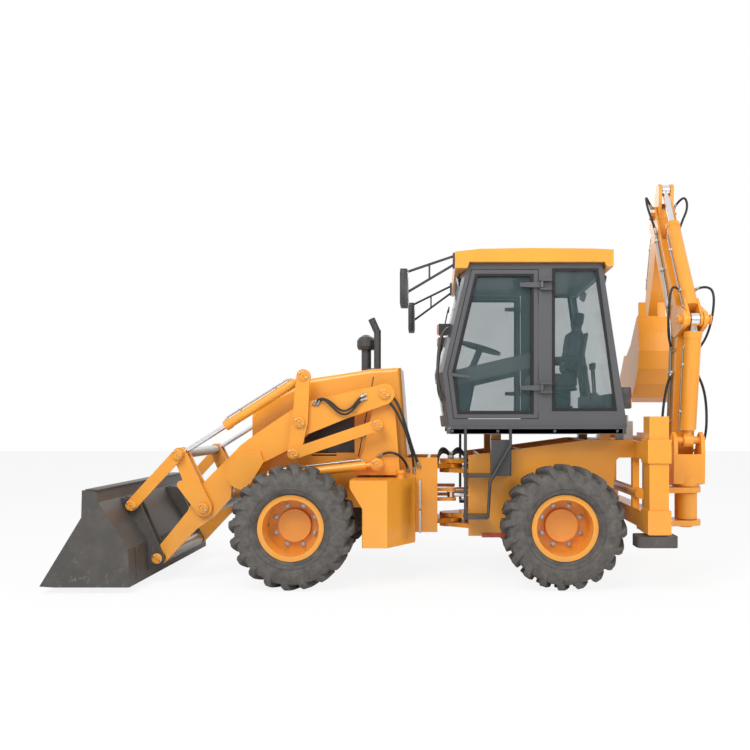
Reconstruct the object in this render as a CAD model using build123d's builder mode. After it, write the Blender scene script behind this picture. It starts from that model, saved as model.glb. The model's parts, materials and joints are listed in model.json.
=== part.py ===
import os
from math import atan2, cos, degrees, radians, sin

from build123d import *

os.makedirs("parts", exist_ok=True)

# Articulated backhoe loader. Millimetres, X forward, Y left, Z up.
# The origin is on the ground, midway between the loader bucket's edge and the
# rear side of the digging bucket. Stations are given from the hitch axis.

# --- overall stations -------------------------------------------------------
hitch_x = -532.0
front_axle_x = hitch_x + 1380.0
rear_axle_x = hitch_x - 956.0
seat_gap = 0.3           # between pieces that are bolted or pressed together
shaft_gap = 0.05         # round a pin or a rod that turns or slides
moving_gap = 6.0         # between faces that pass each other
face_gap = 12.0          # between linkage plates that pass each other

# --- wheels -----------------------------------------------------------------
tyre_radius = 537.5
tyre_width = 410.0
tread_width = 340.0
bead_radius = 256.0
rim_flange_radius = 284.0
rim_width = 310.0
rim_wall = 14.0
rim_flange_wall = 12.0
disc_inset = 112.0       # wheel disc, inboard of the wheel's centre plane
disc_wall = 16.0
hub_radius = 150.0
hub_length = 52.0

# --- loader linkage, (x, z) of its pins -------------------------------------
arm_inner_y = 570.0
arm_wall = 50.0
link_pin_radius = 30.0
boss_radius = 60.0
lever_inner_y = arm_inner_y + arm_wall + face_gap
plate_wall = 30.0
bar_inner_y = lever_inner_y + plate_wall + face_gap
bar_outer_y = bar_inner_y + plate_wall
tilt_y = arm_inner_y + arm_wall / 2
lift_y = 608.0
tilt_barrel_radius = 42.0
tilt_rod_radius = 22.5
lift_barrel_radius = 40.0
lift_rod_radius = 25.0
tyre_clearance = 22.0
wheel_track = tyre_width + 2 * (lift_y + lift_barrel_radius + tyre_clearance)
arm_pivot = Vector(hitch_x + 606.0, 1697.0)
lever_pivot = Vector(hitch_x + 1363.0, 1439.0)
lever_top = Vector(hitch_x + 1333.5, 1856.0)
lever_drop = Vector(52.0, -281.0)          # levelling parallelogram's short side
crank_pivot = Vector(hitch_x + 2225.0, 674.0)
bucket_pivot = Vector(hitch_x + 2637.0, 222.0)
crank_reach = Vector(219.0, 479.0)         # tilting parallelogram's short side
lift_base = Vector(hitch_x + 676.0, 1061.0)
lift_eye = Vector(hitch_x + 1885.0, 922.0)
lever_foot = lever_pivot + lever_drop
bar_pivot = arm_pivot + lever_drop
crank_top = crank_pivot + crank_reach
bucket_ear = bucket_pivot + crank_reach

# --- loader bucket ----------------------------------------------------------
bucket_width = 2250.0
bucket_floor_z = 55.0
bucket_back_x = hitch_x + 2726.0
bucket_edge_x = hitch_x + 3469.0
bucket_wall = 14.0
edge_wall = 25.0

# --- frames -----------------------------------------------------------------
rail_outer_y = 400.0
rail_wall = 30.0
tower_inner_y = 520.0
tower_wall = 38.0
hitch_radius = 110.0
hitch_pin_radius = 40.0
tongue_wall = 40.0
hitch_levels = (500.0, 1020.0)
steer_y = 260.0
steer_z = 760.0
steer_rod_radius = 25.0
steer_barrel_radius = 45.0
ear_gap = 30.0           # half the space between a steering rod's two ears
fender_y = 600.0
hood_half_width = 400.0
hood_wall = 14.0

# --- cab --------------------------------------------------------------------
cab_half_width = 780.0
cab_wall = 50.0
cab_bow = 70.0           # windscreen's middle, ahead of its corners
cab_bow_half_width = 420.0
cab_floor_z = 1398.0
cab_waist_z = 1882.0
cab_waist_x = hitch_x + 86.0
cab_top_z = 2845.0
sill_height = 62.0
glass_wall = 6.0
glass_inset = 18.0
door_wall = 45.0
door_gap = 6.0
door_frame = 42.0
hinge_x = hitch_x - 785.0
hinge_y = cab_half_width + 30.0
hinge_pin_radius = 8.0
roof_overhang = 50.0
roof_half_width = cab_half_width + roof_overhang
roof_height = 120.0

# --- backhoe ----------------------------------------------------------------
post_x = hitch_x - 2155.0
post_y = 460.0
slide_travel = 920.0
boom_half_width = 110.0
digging_bucket_width = 500.0
leg_x = hitch_x - 1736.0
leg_y = 1000.0
bucket_shaft_radius = 64.0    # cross shaft between the two bucket pins
crank_shaft_radius = 80.0     # cross shaft between the two bellcranks
link_shaft_radius = 45.0      # cross shaft between the tops of the bellcranks
post_size = (165.0, 200.0)    # fixed outer tube of a stabiliser
post_wall = 14.0
collar_wall = 16.0
post_bottom_z = 485.0
post_top_z = 1490.0
leg_wall = 12.0
leg_gap = 0.5
pad_size = (345.0, 230.0)
pad_shift = 10.0         # pad, ahead of its leg, clear of the digging bucket
pad_height = 96.0
beam_depth = 150.0
beam_levels = ((1120.0, 1270.0), (520.0, 670.0))
guide_wall = 20.0        # upright edge of a beam, which the carriage hooks round
guide_height = 40.0

side = Plane.XZ                       # (x, z) outlines, its normal is -Y
across = Plane(origin=(post_x, post_y, 0), x_dir=(0, -1, 0), z_dir=(-1, 0, 0))


def slab(plane, points, low, high, mode=Mode.ADD):
    """Plate with a straight-edged outline, between two offsets of its plane."""
    with BuildSketch(plane.offset(low)) as outline:
        with BuildLine():
            Polyline(*points, close=True)
        make_face()
    extrude(outline.sketch, amount=high - low, mode=mode)


def disc(plane, centre, radius, low, high, mode=Mode.ADD):
    """Round pin, boss or hole square to a plane."""
    with BuildSketch(plane.offset(low)) as circle:
        with Locations((centre.X, centre.Y)):
            Circle(radius)
    extrude(circle.sketch, amount=high - low, mode=mode)


def bar(plane, a, a_radius, b, b_radius, low, high, mode=Mode.ADD):
    """Link with a round eye at each end and tangent sides."""
    run = b - a
    spread = degrees(atan2(run.Y, run.X))
    tilt = degrees(atan2((run.length**2 - (a_radius - b_radius) ** 2) ** 0.5, a_radius - b_radius))
    corners = []
    for centre, radius, turn in ((a, a_radius, tilt), (a, a_radius, -tilt), (b, b_radius, -tilt), (b, b_radius, tilt)):
        angle = radians(spread + turn)
        corners.append((centre.X + radius * cos(angle), centre.Y + radius * sin(angle)))
    with BuildSketch(plane.offset(low)) as outline:
        with BuildLine():
            Polyline(*corners, close=True)
        make_face()
        with Locations((a.X, a.Y)):
            Circle(a_radius)
        with Locations((b.X, b.Y)):
            Circle(b_radius)
    extrude(outline.sketch, amount=high - low, mode=mode)


def block(low, high, mode=Mode.ADD):
    """Block between two opposite corners."""
    with BuildSketch(Plane.XY.offset(low[2])) as base:
        with Locations(((low[0] + high[0]) / 2, (low[1] + high[1]) / 2)):
            Rectangle(high[0] - low[0], high[1] - low[1])
    extrude(base.sketch, amount=high[2] - low[2], mode=mode)


def rod(start, end, radius, mode=Mode.ADD):
    """Round bar between two points in space."""
    run = Vector(*end) - Vector(*start)
    with BuildSketch(Plane(origin=start, z_dir=run)) as circle:
        Circle(radius)
    extrude(circle.sketch, amount=run.length, mode=mode)


def both(inner, outer):
    """The same two offsets on each side of the machine."""
    return ((inner, outer), (-outer, -inner))


def along(a, b, distance):
    """Point on the line from a to b, at a distance from a."""
    return a + (b - a).normalized() * distance


def finish(name, piece):
    piece.part.label = name
    export_step(piece.part, f"parts/{name}.step")


# --- wheels: tyre and rim ---------------------------------------------------
def wheel_plane(x, out):
    """Local x points outboard along the axle, local y up, from the wheel's centre."""
    return Plane(origin=(x, out * wheel_track / 2, tyre_radius), x_dir=(0, out, 0), z_dir=(out, 0, 0))


for corner, wheel_x, out in (
    ("front_left", front_axle_x, 1), ("front_right", front_axle_x, -1),
    ("rear_left", rear_axle_x, 1), ("rear_right", rear_axle_x, -1),
):
    section = wheel_plane(wheel_x, out)
    spindle = Axis(section.origin, section.x_dir)
    half = tyre_width / 2
    bead = rim_width / 2 - rim_flange_wall
    shoulder = rim_flange_radius + 4
    with BuildPart() as tyre:
        with BuildSketch(section) as carcass:
            with BuildLine():
                Polyline((-bead, shoulder), (-bead, bead_radius), (bead, bead_radius), (bead, shoulder))
                ThreePointArc((bead, shoulder), (half, 410), (tread_width / 2 + 18, tyre_radius - 32))
                Polyline((tread_width / 2 + 18, tyre_radius - 32), (tread_width / 2 - 20, tyre_radius),
                         (20 - tread_width / 2, tyre_radius), (-18 - tread_width / 2, tyre_radius - 32))
                ThreePointArc((-18 - tread_width / 2, tyre_radius - 32), (-half, 410), (-bead, shoulder))
            make_face()
        revolve(axis=spindle)
    finish(f"{corner}_tyre", tyre)

    barrel = bead_radius - seat_gap
    lip = rim_width / 2
    with BuildPart() as rim:
        with BuildSketch(section) as profile:
            with BuildLine():
                Polyline(
                    (-lip, barrel - rim_wall), (-lip, rim_flange_radius), (-bead - seat_gap, rim_flange_radius),
                    (-bead - seat_gap, barrel), (bead + seat_gap, barrel),
                    (bead + seat_gap, rim_flange_radius), (lip, rim_flange_radius),
                    (lip, barrel - rim_wall), (-disc_inset + disc_wall, barrel - rim_wall - 6),
                    (-disc_inset + disc_wall, hub_radius), (-disc_inset + disc_wall + hub_length, hub_radius - 8),
                    (-disc_inset + disc_wall + hub_length, 0), (-disc_inset, 0),
                    (-disc_inset, barrel - rim_wall), close=True,
                )
            make_face()
        revolve(axis=spindle)
    finish(f"{corner}_rim", rim)


# --- axles ------------------------------------------------------------------
axle_end = wheel_track / 2 - disc_inset - seat_gap
for name, axle_x in (("front_axle", front_axle_x), ("rear_axle", rear_axle_x)):
    middle = Plane(origin=(axle_x, 0, tyre_radius), x_dir=(0, 1, 0), z_dir=(1, 0, 0))
    with BuildPart() as axle:
        with BuildSketch(middle):
            with BuildLine():
                Polyline(
                    (-axle_end, 0), (-axle_end, 165), (-axle_end + 55, 165), (-axle_end + 75, 92), (-210, 88),
                    (-150, 150), (-60, 190), (60, 190), (150, 150), (210, 88), (axle_end - 75, 92),
                    (axle_end - 55, 165), (axle_end, 165), (axle_end, 0), close=True,
                )
            make_face()
        revolve(axis=Axis(middle.origin, middle.x_dir))
        for low, high in both(rail_outer_y - 130, rail_outer_y - 10):
            block((axle_x - 95, low, tyre_radius), (axle_x + 95, high, 650))
    finish(name, axle)


# --- front frame ------------------------------------------------------------
def at(x, z):
    return (hitch_x + x, z)


with BuildPart() as front_frame:
    rail = [at(130, 420), at(560, 420), at(760, 650), at(1830, 650), at(1830, 1000), at(900, 1000), at(880, 1110), at(130, 1110)]
    tower = [at(470, 960), at(522, 1640), at(545, 1765), at(665, 1765), at(722, 1560), at(800, 1180), at(900, 960)]
    for low, high in both(rail_outer_y - rail_wall, rail_outer_y):
        slab(side, rail, low, high)
    for low, high in both(tower_inner_y, tower_inner_y + tower_wall):
        slab(side, tower, low, high)
    for low, high in both(rail_outer_y, tower_inner_y):
        block((hitch_x + 480, low, 960), (hitch_x + 880, high, 1110))
    inner = rail_outer_y - rail_wall
    for x_low, x_high, z_low, z_high in (
        (195, 225, 420, 1110), (1800, 1830, 650, 1000), (700, 740, 650, 960), (1050, 1110, 650, 700), (1640, 1700, 650, 700),
    ):
        block((hitch_x + x_low, -inner, z_low), (hitch_x + x_high, inner, z_high))
    for level in hitch_levels:
        with BuildSketch(Plane.XY.offset(level - tongue_wall / 2)) as tongue:
            with BuildLine():
                Polyline((hitch_x, -hitch_radius), (hitch_x + 200, -300), (hitch_x + 200, 300), (hitch_x, hitch_radius), close=True)
            make_face()
            with Locations((hitch_x, 0)):
                Circle(hitch_radius)
                Circle(hitch_pin_radius + shaft_gap, mode=Mode.SUBTRACT)
        extrude(tongue.sketch, amount=tongue_wall)
    for out in (1, -1):
        for z_low in (steer_z - ear_gap - 30, steer_z + ear_gap):
            block((hitch_x, out * steer_y - 45, z_low), (hitch_x + 200, out * steer_y + 45, z_low + 30))
            with BuildSketch(Plane.XY.offset(z_low)) as ear:
                with Locations((hitch_x, out * steer_y)):
                    Circle(45)
            extrude(ear.sketch, amount=30)
    pin_out = arm_inner_y + arm_wall + face_gap
    for centre, reach in ((arm_pivot, pin_out), (lift_base, pin_out), (bar_pivot, bar_outer_y + face_gap)):
        for low, high in both(tower_inner_y + tower_wall, reach):
            disc(side, centre, link_pin_radius, low, high)
finish("front_frame", front_frame)

with BuildPart() as engine:
    block((hitch_x + 940, -250, 760), (hitch_x + 1600, 250, 1480))
    for x in (980, 1520):
        block((hitch_x + x - 40, -inner, 760), (hitch_x + x + 40, inner, 800))
    fillet(engine.edges().filter_by(Axis.X).group_by(Axis.Z)[-1], 40)
finish("engine", engine)

hood_outline = [
    at(1845, 1000 + seat_gap), at(1848, 1540), at(1790, 1610), at(1313, 1846), at(745, 1935), at(475, 1951),
    at(410, 1110 + seat_gap), at(882, 1110 + seat_gap), at(902, 1000 + seat_gap),
]
with BuildPart() as hood:
    with BuildSketch(side.offset(-hood_half_width)) as shape:
        with BuildLine():
            Polyline(*hood_outline, close=True)
        make_face()
    extrude(amount=2 * hood_half_width)
    top_edges = hood.edges().filter_by(lambda e: e.center().Z > 1500 and abs(abs(e.center().Y) - hood_half_width) < 1)
    fillet(top_edges, 45)
    with BuildSketch(side.offset(hood_wall - hood_half_width)) as cavity:
        with BuildLine():
            Polyline(*hood_outline, close=True)
        make_face()
        offset(amount=-hood_wall, kind=Kind.INTERSECTION)
        with BuildLine():
            Polyline(at(930, 950), at(1820, 950), at(1820, 1200), at(440, 1200), at(440, 1060), at(930, 1060), close=True)
        make_face()
    extrude(amount=2 * (hood_half_width - hood_wall), mode=Mode.SUBTRACT)
    with BuildSketch(side.offset(-hood_half_width - 5)) as vents:
        with Locations(at(1183, 1225)):
            with GridLocations(0, 26, 1, 8):
                Rectangle(230, 13)
    extrude(amount=2 * hood_half_width + 10, mode=Mode.SUBTRACT)
    with BuildSketch(Plane.YZ.offset(hitch_x + 1815)) as intake:
        with Locations((0, 1270)):
            with GridLocations(0, 34, 1, 13):
                Rectangle(560, 18)
    extrude(amount=60, mode=Mode.SUBTRACT)
finish("hood", hood)

with BuildPart() as stacks:
    rod((hitch_x + 712, 60, 1915), (hitch_x + 712, 60, 2330), 34)
    rod((hitch_x + 712, 60, 2310), (hitch_x + 770, 60, 2440), 34)
    rod((hitch_x + 830, -60, 1905), (hitch_x + 830, -60, 2160), 48)
    with BuildSketch(Plane(origin=(hitch_x + 830, -60, 2150), x_dir=(1, 0, 0), z_dir=(0, -1, 0))):
        with BuildLine():
            Polyline((0, 0), (78, 0), (92, 30), (92, 90), (70, 120), (30, 145), (0, 145), close=True)
        make_face()
    revolve(axis=Axis((hitch_x + 830, -60, 0), (0, 0, 1)))
    block((hitch_x + 700, -90, 1900), (hitch_x + 850, 90, 1960))
    slab(side, hood_outline, -hood_half_width, hood_half_width, mode=Mode.SUBTRACT)
finish("stacks", stacks)

tank_front = [at(890, 938), at(890, 880), at(781, 700), at(781, 356), at(300, 356), at(300, 938)]
with BuildPart() as side_tanks:
    for low, high in both(rail_outer_y + seat_gap, 950):
        slab(side, tank_front, low, high)
    for out in (1, -1):
        with BuildSketch(Plane.XY.offset(340)) as wedge:
            with BuildLine():
                Polyline((hitch_x + 564, out * 960), (hitch_x + 564, out * 950), (hitch_x + 334, out * 600),
                         (hitch_x + 334, out * rail_outer_y), (hitch_x + 290, out * rail_outer_y),
                         (hitch_x + 290, out * 960), close=True)
            make_face()
        extrude(wedge.sketch, amount=620, mode=Mode.SUBTRACT)
    fillet(side_tanks.edges().filter_by(Axis.Z), 12)
    for low, high in both(610, 690):
        rod((hitch_x + 460, (low + high) / 2, 936), (hitch_x + 460, (low + high) / 2, 985), 34)
        rod((hitch_x + 460, (low + high) / 2, 983), (hitch_x + 460, (low + high) / 2, 1010), 44)
finish("side_tanks", side_tanks)


# --- cylinders --------------------------------------------------------------
def spot(plane, point, out):
    """Point of a plane's outline, at an offset from the plane."""
    return plane.from_local_coords(Vector(point.X, point.Y, out))


def ram_barrel(plane, base, eye, length, radius, rod_radius, pin_radius, low, high):
    """Cylinder barrel with its base eye on a pin and a bore for its rod."""
    mid = (low + high) / 2
    disc(plane, base, pin_radius + 28, low, high)
    neck = pin_radius + 70
    rod(spot(plane, along(base, eye, pin_radius + 12), mid), spot(plane, along(base, eye, neck), mid), mid - low)
    rod(spot(plane, along(base, eye, neck), mid), spot(plane, along(base, eye, length), mid), radius)
    rod(spot(plane, along(base, eye, length - 60), mid), spot(plane, along(base, eye, length - 5), mid), radius + 6)
    bore_start = spot(plane, along(base, eye, neck + 20), mid)
    rod(bore_start, spot(plane, along(base, eye, length + 1), mid), rod_radius + shaft_gap, mode=Mode.SUBTRACT)
    disc(plane, base, pin_radius + shaft_gap, low - radius, high + radius, mode=Mode.SUBTRACT)


def ram_rod(plane, base, eye, start, radius, eye_radius, low, high):
    """Piston rod, from its inner end in the barrel to its eye."""
    mid = (low + high) / 2
    rod(spot(plane, along(base, eye, start), mid), spot(plane, eye, mid), radius)
    disc(plane, eye, eye_radius, low, high)


def outboard(out, inner, outer):
    """Offsets of the side plane for two distances from the middle, left or right."""
    return (-outer, -inner) if out > 0 else (inner, outer)


# --- loader arms and linkage ------------------------------------------------
arm_outline = [
    at(545, 1775), at(640, 1778), at(1285, 1630), at(1430, 1562), at(1754, 1343), at(1900, 1236), at(2010, 1120),
    at(2150, 985), at(2290, 840), at(2380, 640), at(2682, 268), at(2682, 180), at(2590, 172), at(2310, 470),
    at(2130, 600), at(1990, 760), at(1975, 1040), at(1700, 1075), at(1402, 1225), at(1294, 1334), at(960, 1469),
    at(560, 1610),
]
lift_cheek = [
    at(1680, 1100), at(1760, 965), at(1820, 860), at(1900, 835), at(1975, 870), at(2020, 940), at(2000, 1100),
]
with BuildPart() as loader_arms:
    for low, high in both(arm_inner_y, arm_inner_y + arm_wall):
        slab(side, arm_outline, low, high)
        for centre, radius in ((arm_pivot, 90), (crank_pivot, 92), (bucket_pivot, 62), (lever_pivot, 90)):
            disc(side, centre, radius, low, high)
        for centre in (arm_pivot, crank_pivot, bucket_pivot):
            disc(side, centre, link_pin_radius + shaft_gap, low, high, mode=Mode.SUBTRACT)
    for low, high in both(lift_y - 50, lift_y + 50):
        block_front = [at(1690, 1075), at(1980, 1045), at(1985, 1130), at(1850, 1180), at(1720, 1180)]
        slab(side, block_front, low, high)
    for inner_y in (lift_y - 50, lift_y + 34):
        for low, high in both(inner_y, inner_y + 16):
            slab(side, lift_cheek, low, high)
    for low, high in both(arm_inner_y, lever_inner_y + plate_wall + face_gap):
        disc(side, lever_pivot, link_pin_radius, low, high)
    rod((hitch_x + 1985, -arm_inner_y, 960), (hitch_x + 1985, arm_inner_y, 960), 85)
finish("loader_arms", loader_arms)

with BuildPart() as levelling_levers:
    for low, high in both(lever_inner_y, lever_inner_y + plate_wall):
        bar(side, lever_pivot, boss_radius + 10, lever_top, boss_radius, low, high)
        bar(side, lever_pivot, boss_radius + 10, lever_foot, boss_radius, low, high)
        disc(side, lever_pivot, link_pin_radius + shaft_gap, low, high, mode=Mode.SUBTRACT)
    for low, high in both(lever_inner_y, bar_outer_y + face_gap):
        disc(side, lever_foot, link_pin_radius, low, high)
    for low, high in both(tilt_y - 30, lever_inner_y + plate_wall):
        disc(side, lever_top, link_pin_radius, low, high)
finish("levelling_levers", levelling_levers)

with BuildPart() as levelling_bars:
    for low, high in both(bar_inner_y, bar_outer_y):
        bar(side, bar_pivot, 50, lever_foot, 50, low, high)
        for centre in (bar_pivot, lever_foot):
            disc(side, centre, link_pin_radius + shaft_gap, low, high, mode=Mode.SUBTRACT)
finish("levelling_bars", levelling_bars)

inner_plate = (arm_inner_y - face_gap - plate_wall, arm_inner_y - face_gap)
outer_plate = (lever_inner_y, lever_inner_y + plate_wall)
pin_end = outer_plate[1] + face_gap
shaft_end = inner_plate[0] - face_gap
cross_shafts = (("bucket_pins", bucket_pivot, bucket_shaft_radius), ("bellcrank_pins", crank_pivot, crank_shaft_radius))
for name, centre, shaft_radius in cross_shafts:
    with BuildPart() as pins:
        disc(side, centre, link_pin_radius, -pin_end, pin_end)
        disc(side, centre, shaft_radius, -shaft_end, shaft_end)
    finish(name, pins)

stop = crank_pivot + crank_reach.rotate(Axis.Z, -20) * 0.55
with BuildPart() as bellcranks:
    for plate in (inner_plate, outer_plate):
        for low, high in both(*plate):
            bar(side, crank_pivot, 75, crank_top, boss_radius, low, high)
            bar(side, crank_pivot, 75, stop, 35, low, high)
            for centre in (crank_pivot, crank_top):
                disc(side, centre, link_pin_radius + shaft_gap, low, high, mode=Mode.SUBTRACT)
    for low, high in both(inner_plate[0], outer_plate[1]):
        disc(side, stop, 28, low, high)
finish("bellcranks", bellcranks)

with BuildPart() as link_pins:
    for low, high in both(outer_plate[0], bar_outer_y + face_gap):
        disc(side, crank_top, link_pin_radius, low, high)
    disc(side, crank_top, link_pin_radius, -inner_plate[1], inner_plate[1])
    disc(side, crank_top, link_shaft_radius, -shaft_end, shaft_end)
finish("link_pins", link_pins)

with BuildPart() as bucket_links:
    for low, high in both(bar_inner_y, bar_outer_y):
        bar(side, crank_top, 50, bucket_ear, 50, low, high)
        for centre in (crank_top, bucket_ear):
            disc(side, centre, link_pin_radius + shaft_gap, low, high, mode=Mode.SUBTRACT)
finish("bucket_links", bucket_links)

tilt_length = (crank_top - lever_top).length
tilt_travel = (-320.0, 338.0)
with BuildPart() as tilt_barrels:
    for low, high in both(tilt_y - 24, tilt_y + 24):
        ram_barrel(side, lever_top, crank_top, tilt_length + tilt_travel[0] - 150, tilt_barrel_radius, tilt_rod_radius,
                   link_pin_radius, low, high)
finish("tilt_barrels", tilt_barrels)

with BuildPart() as tilt_rods:
    for low, high in both(tilt_y - 24, tilt_y + 24):
        ram_rod(side, lever_top, crank_top, -tilt_travel[0] + 135, tilt_rod_radius, 50, low, high)
finish("tilt_rods", tilt_rods)

lift_length = (lift_eye - lift_base).length
with BuildPart() as lift_barrels:
    for low, high in both(lift_y - 24, lift_y + 24):
        ram_barrel(side, lift_base, lift_eye, lift_length - 225, lift_barrel_radius, lift_rod_radius,
                   link_pin_radius, low, high)
finish("lift_barrels", lift_barrels)

with BuildPart() as lift_rods:
    for low, high in both(lift_y - 24, lift_y + 24):
        ram_rod(side, lift_base, lift_eye, 140, lift_rod_radius, 48, low, high)
finish("lift_rods", lift_rods)


# --- loader bucket ----------------------------------------------------------
heel_x = bucket_back_x - 12
bucket_outline = [
    (heel_x, bucket_floor_z), (bucket_edge_x - 120, bucket_floor_z), (bucket_edge_x, bucket_floor_z + 8),
    at(3117, 642), at(3111, 870), at(2989, 857), at(2972, 770), (bucket_back_x, 375),
]
bucket_inside = [
    (bucket_back_x + bucket_wall, bucket_floor_z + edge_wall), (bucket_edge_x + 300, bucket_floor_z + edge_wall),
    (bucket_edge_x + 300, 1000), at(3140, 1000), at(3111, 852), at(3002, 841), at(2986, 765),
    (bucket_back_x + bucket_wall, 371),
]
ear_outline = [
    (bucket_back_x + 1, 110), (bucket_pivot.X, bucket_pivot.Y - 62), (bucket_pivot.X - 40, bucket_pivot.Y + 47),
    (bucket_ear.X - 48, bucket_ear.Y + 37), (bucket_ear.X + 30, bucket_ear.Y + 52), at(2972, 765), (bucket_back_x + 1, 375),
]
with BuildPart() as loader_bucket:
    slab(side, bucket_outline, -bucket_width / 2, bucket_width / 2)
    slab(side, bucket_inside, 22 - bucket_width / 2, bucket_width / 2 - 22, mode=Mode.SUBTRACT)
    for plate in (inner_plate, outer_plate):
        for low, high in both(*plate):
            slab(side, ear_outline, low, high)
            disc(side, bucket_pivot, 62, low, high)
            disc(side, bucket_ear, boss_radius, low, high)
            disc(side, bucket_pivot, link_pin_radius + shaft_gap, low, high, mode=Mode.SUBTRACT)
    for low, high in both(outer_plate[0], bar_outer_y + face_gap):
        disc(side, bucket_ear, link_pin_radius, low, high)
    slab(side, bucket_inside, 22 - bucket_width / 2, bucket_width / 2 - 22, mode=Mode.SUBTRACT)
finish("loader_bucket", loader_bucket)


# --- rear frame -------------------------------------------------------------
frame_side = [
    at(-150, 413), at(-470, 413), at(-700, 650), at(-1330, 650), at(-1450, 760), at(-1480, 1090), at(-1510, 1120),
    at(-1642, 1120), at(-1642, 1280), at(-1214, 1280), at(-547, 1189), at(-150, 1140),
]
belly_z = 650.0
deck_z = 1280.0
beam_front_x = hitch_x - 1642.0
plate_inner_y = fender_y - 40.0
with BuildPart() as rear_frame:
    for low, high in both(plate_inner_y, fender_y):
        slab(side, frame_side, low, high)
    for x_low, x_high, z_low, z_high in (
        (-265, -240, 413, 1140), (-670, -640, belly_z, 1180), (-1300, -700, belly_z, belly_z + 30),
        (-1642, -1250, deck_z - 30, deck_z), (-1642, -1600, 1120, deck_z),
    ):
        block((hitch_x + x_low, -plate_inner_y, z_low), (hitch_x + x_high, plate_inner_y, z_high))
    block((rear_axle_x - 200, -195, belly_z - 10), (rear_axle_x + 200, 195, belly_z + 40), mode=Mode.SUBTRACT)
    for x in (-400, -1380):
        for out in (1, -1):
            block((hitch_x + x - 45, out * 540 - 50, 1110), (hitch_x + x + 45, out * 540 + 50, cab_floor_z - sill_height))
    for level in hitch_levels:
        for z_low in (level - tongue_wall / 2 - moving_gap - 40, level + tongue_wall / 2 + moving_gap):
            with BuildSketch(Plane.XY.offset(z_low)) as yoke:
                with BuildLine():
                    Polyline((hitch_x, -hitch_radius), (hitch_x - 241, -300), (hitch_x - 241, 300),
                             (hitch_x, hitch_radius), close=True)
                make_face()
                with Locations((hitch_x, 0)):
                    Circle(hitch_radius)
            extrude(yoke.sketch, amount=40)
        reach = tongue_wall / 2 + moving_gap + 20
        rod((hitch_x, 0, level - reach), (hitch_x, 0, level + reach), hitch_pin_radius)
    for out in (1, -1):
        rod((hitch_x - 300, out * steer_y, steer_z), (hitch_x - 200, out * steer_y, steer_z),
            steer_barrel_radius + 30, mode=Mode.SUBTRACT)
finish("rear_frame", rear_frame)

with BuildPart() as steering_barrels:
    for out in (1, -1):
        rod((hitch_x - 640 + seat_gap, out * steer_y, steer_z), (hitch_x - 215, out * steer_y, steer_z), steer_barrel_radius)
        rod((hitch_x - 600, out * steer_y, steer_z), (hitch_x - 214, out * steer_y, steer_z),
            steer_rod_radius + shaft_gap, mode=Mode.SUBTRACT)
finish("steering_barrels", steering_barrels)
for name, out in (("left_steering_rod", 1), ("right_steering_rod", -1)):
    with BuildPart() as steering_rod:
        rod((hitch_x - 400, out * steer_y, steer_z), (hitch_x, out * steer_y, steer_z), steer_rod_radius)
        rod((hitch_x, out * steer_y, steer_z - 24), (hitch_x, out * steer_y, steer_z + 24), 38)
    finish(name, steering_rod)


# --- cab --------------------------------------------------------------------
cab_side = [
    (cab_waist_x - 62, cab_floor_z), (cab_waist_x, cab_waist_z), (cab_waist_x - 225, cab_top_z),
    at(-1322, cab_top_z), at(-1542, cab_floor_z),
]
cab_middle = [(x + cab_bow, z) for x, z in cab_side[:3]] + cab_side[3:]
door_outline = [
    at(-10, 1470), at(44, cab_waist_z), at(-168, 2790), (hinge_x + 25, 2790), (hinge_x + 25, 1470),
]
quarter_outline = [at(-885, 2790), at(-1282, 2790), at(-1446, 1545), at(-885, 1545)]


def cab_solid(inset, mode=Mode.ADD):
    """Outer form of the cab, brought inward by an inset all round."""
    reach = cab_half_width - inset
    for low, high in ((-cab_bow_half_width, cab_bow_half_width), (cab_bow_half_width, reach), (-cab_bow_half_width, -reach)):
        with BuildSketch(side.offset(low)) as near:
            with BuildLine():
                Polyline(*cab_middle, close=True)
            make_face()
            if inset:
                offset(amount=-inset, kind=Kind.INTERSECTION)
        if low < 0 < high:
            extrude(near.sketch, amount=high - low, mode=mode)
            continue
        with BuildSketch(side.offset(high)) as far:
            with BuildLine():
                Polyline(*cab_side, close=True)
            make_face()
            if inset:
                offset(amount=-inset, kind=Kind.INTERSECTION)
        loft(sections=[near.sketch, far.sketch], ruled=True, mode=mode)


def window_cuts(shrink):
    """Window openings, through the walls, smaller all round by a clearance."""
    with BuildPart() as cuts:
        with BuildSketch(side.offset(-cab_half_width - 20)) as quarter:
            with BuildLine():
                Polyline(*quarter_outline, close=True)
            make_face()
            if shrink:
                offset(amount=-shrink, kind=Kind.INTERSECTION)
        extrude(quarter.sketch, amount=2 * cab_half_width + 40)
        for x_low, x_high, z_low, z_high in (
            (-140, 260, 1960, 2740), (-140, 260, 1500, 1830), (-1620, -1200, 1700, 2740),
        ):
            block((hitch_x + x_low, shrink - 640, z_low + shrink), (hitch_x + x_high, 640 - shrink, z_high - shrink))
    return cuts.part


with BuildPart() as cab_frame:
    cab_solid(0)
    cab_solid(cab_wall, mode=Mode.SUBTRACT)
    add(window_cuts(0), mode=Mode.SUBTRACT)
    for low, high in both(cab_half_width - door_wall - 10, cab_half_width + 10):
        slab(side, door_outline, low, high, mode=Mode.SUBTRACT)
    block((hitch_x - 1530, -800, cab_floor_z - sill_height), (cab_waist_x - 70, 800, cab_floor_z))
    for out in (1, -1):
        for hinge_z in (2648, 1742):
            for z_low in (hinge_z - 46, hinge_z + 31):
                block((hinge_x - 90, min(out * cab_half_width, out * (hinge_y + 14)), z_low),
                      (hinge_x + 14, max(out * cab_half_width, out * (hinge_y + 14)), z_low + 15))
            rod((hinge_x, out * hinge_y, hinge_z - 46), (hinge_x, out * hinge_y, hinge_z + 46), hinge_pin_radius)
finish("cab_frame", cab_frame)

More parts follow.
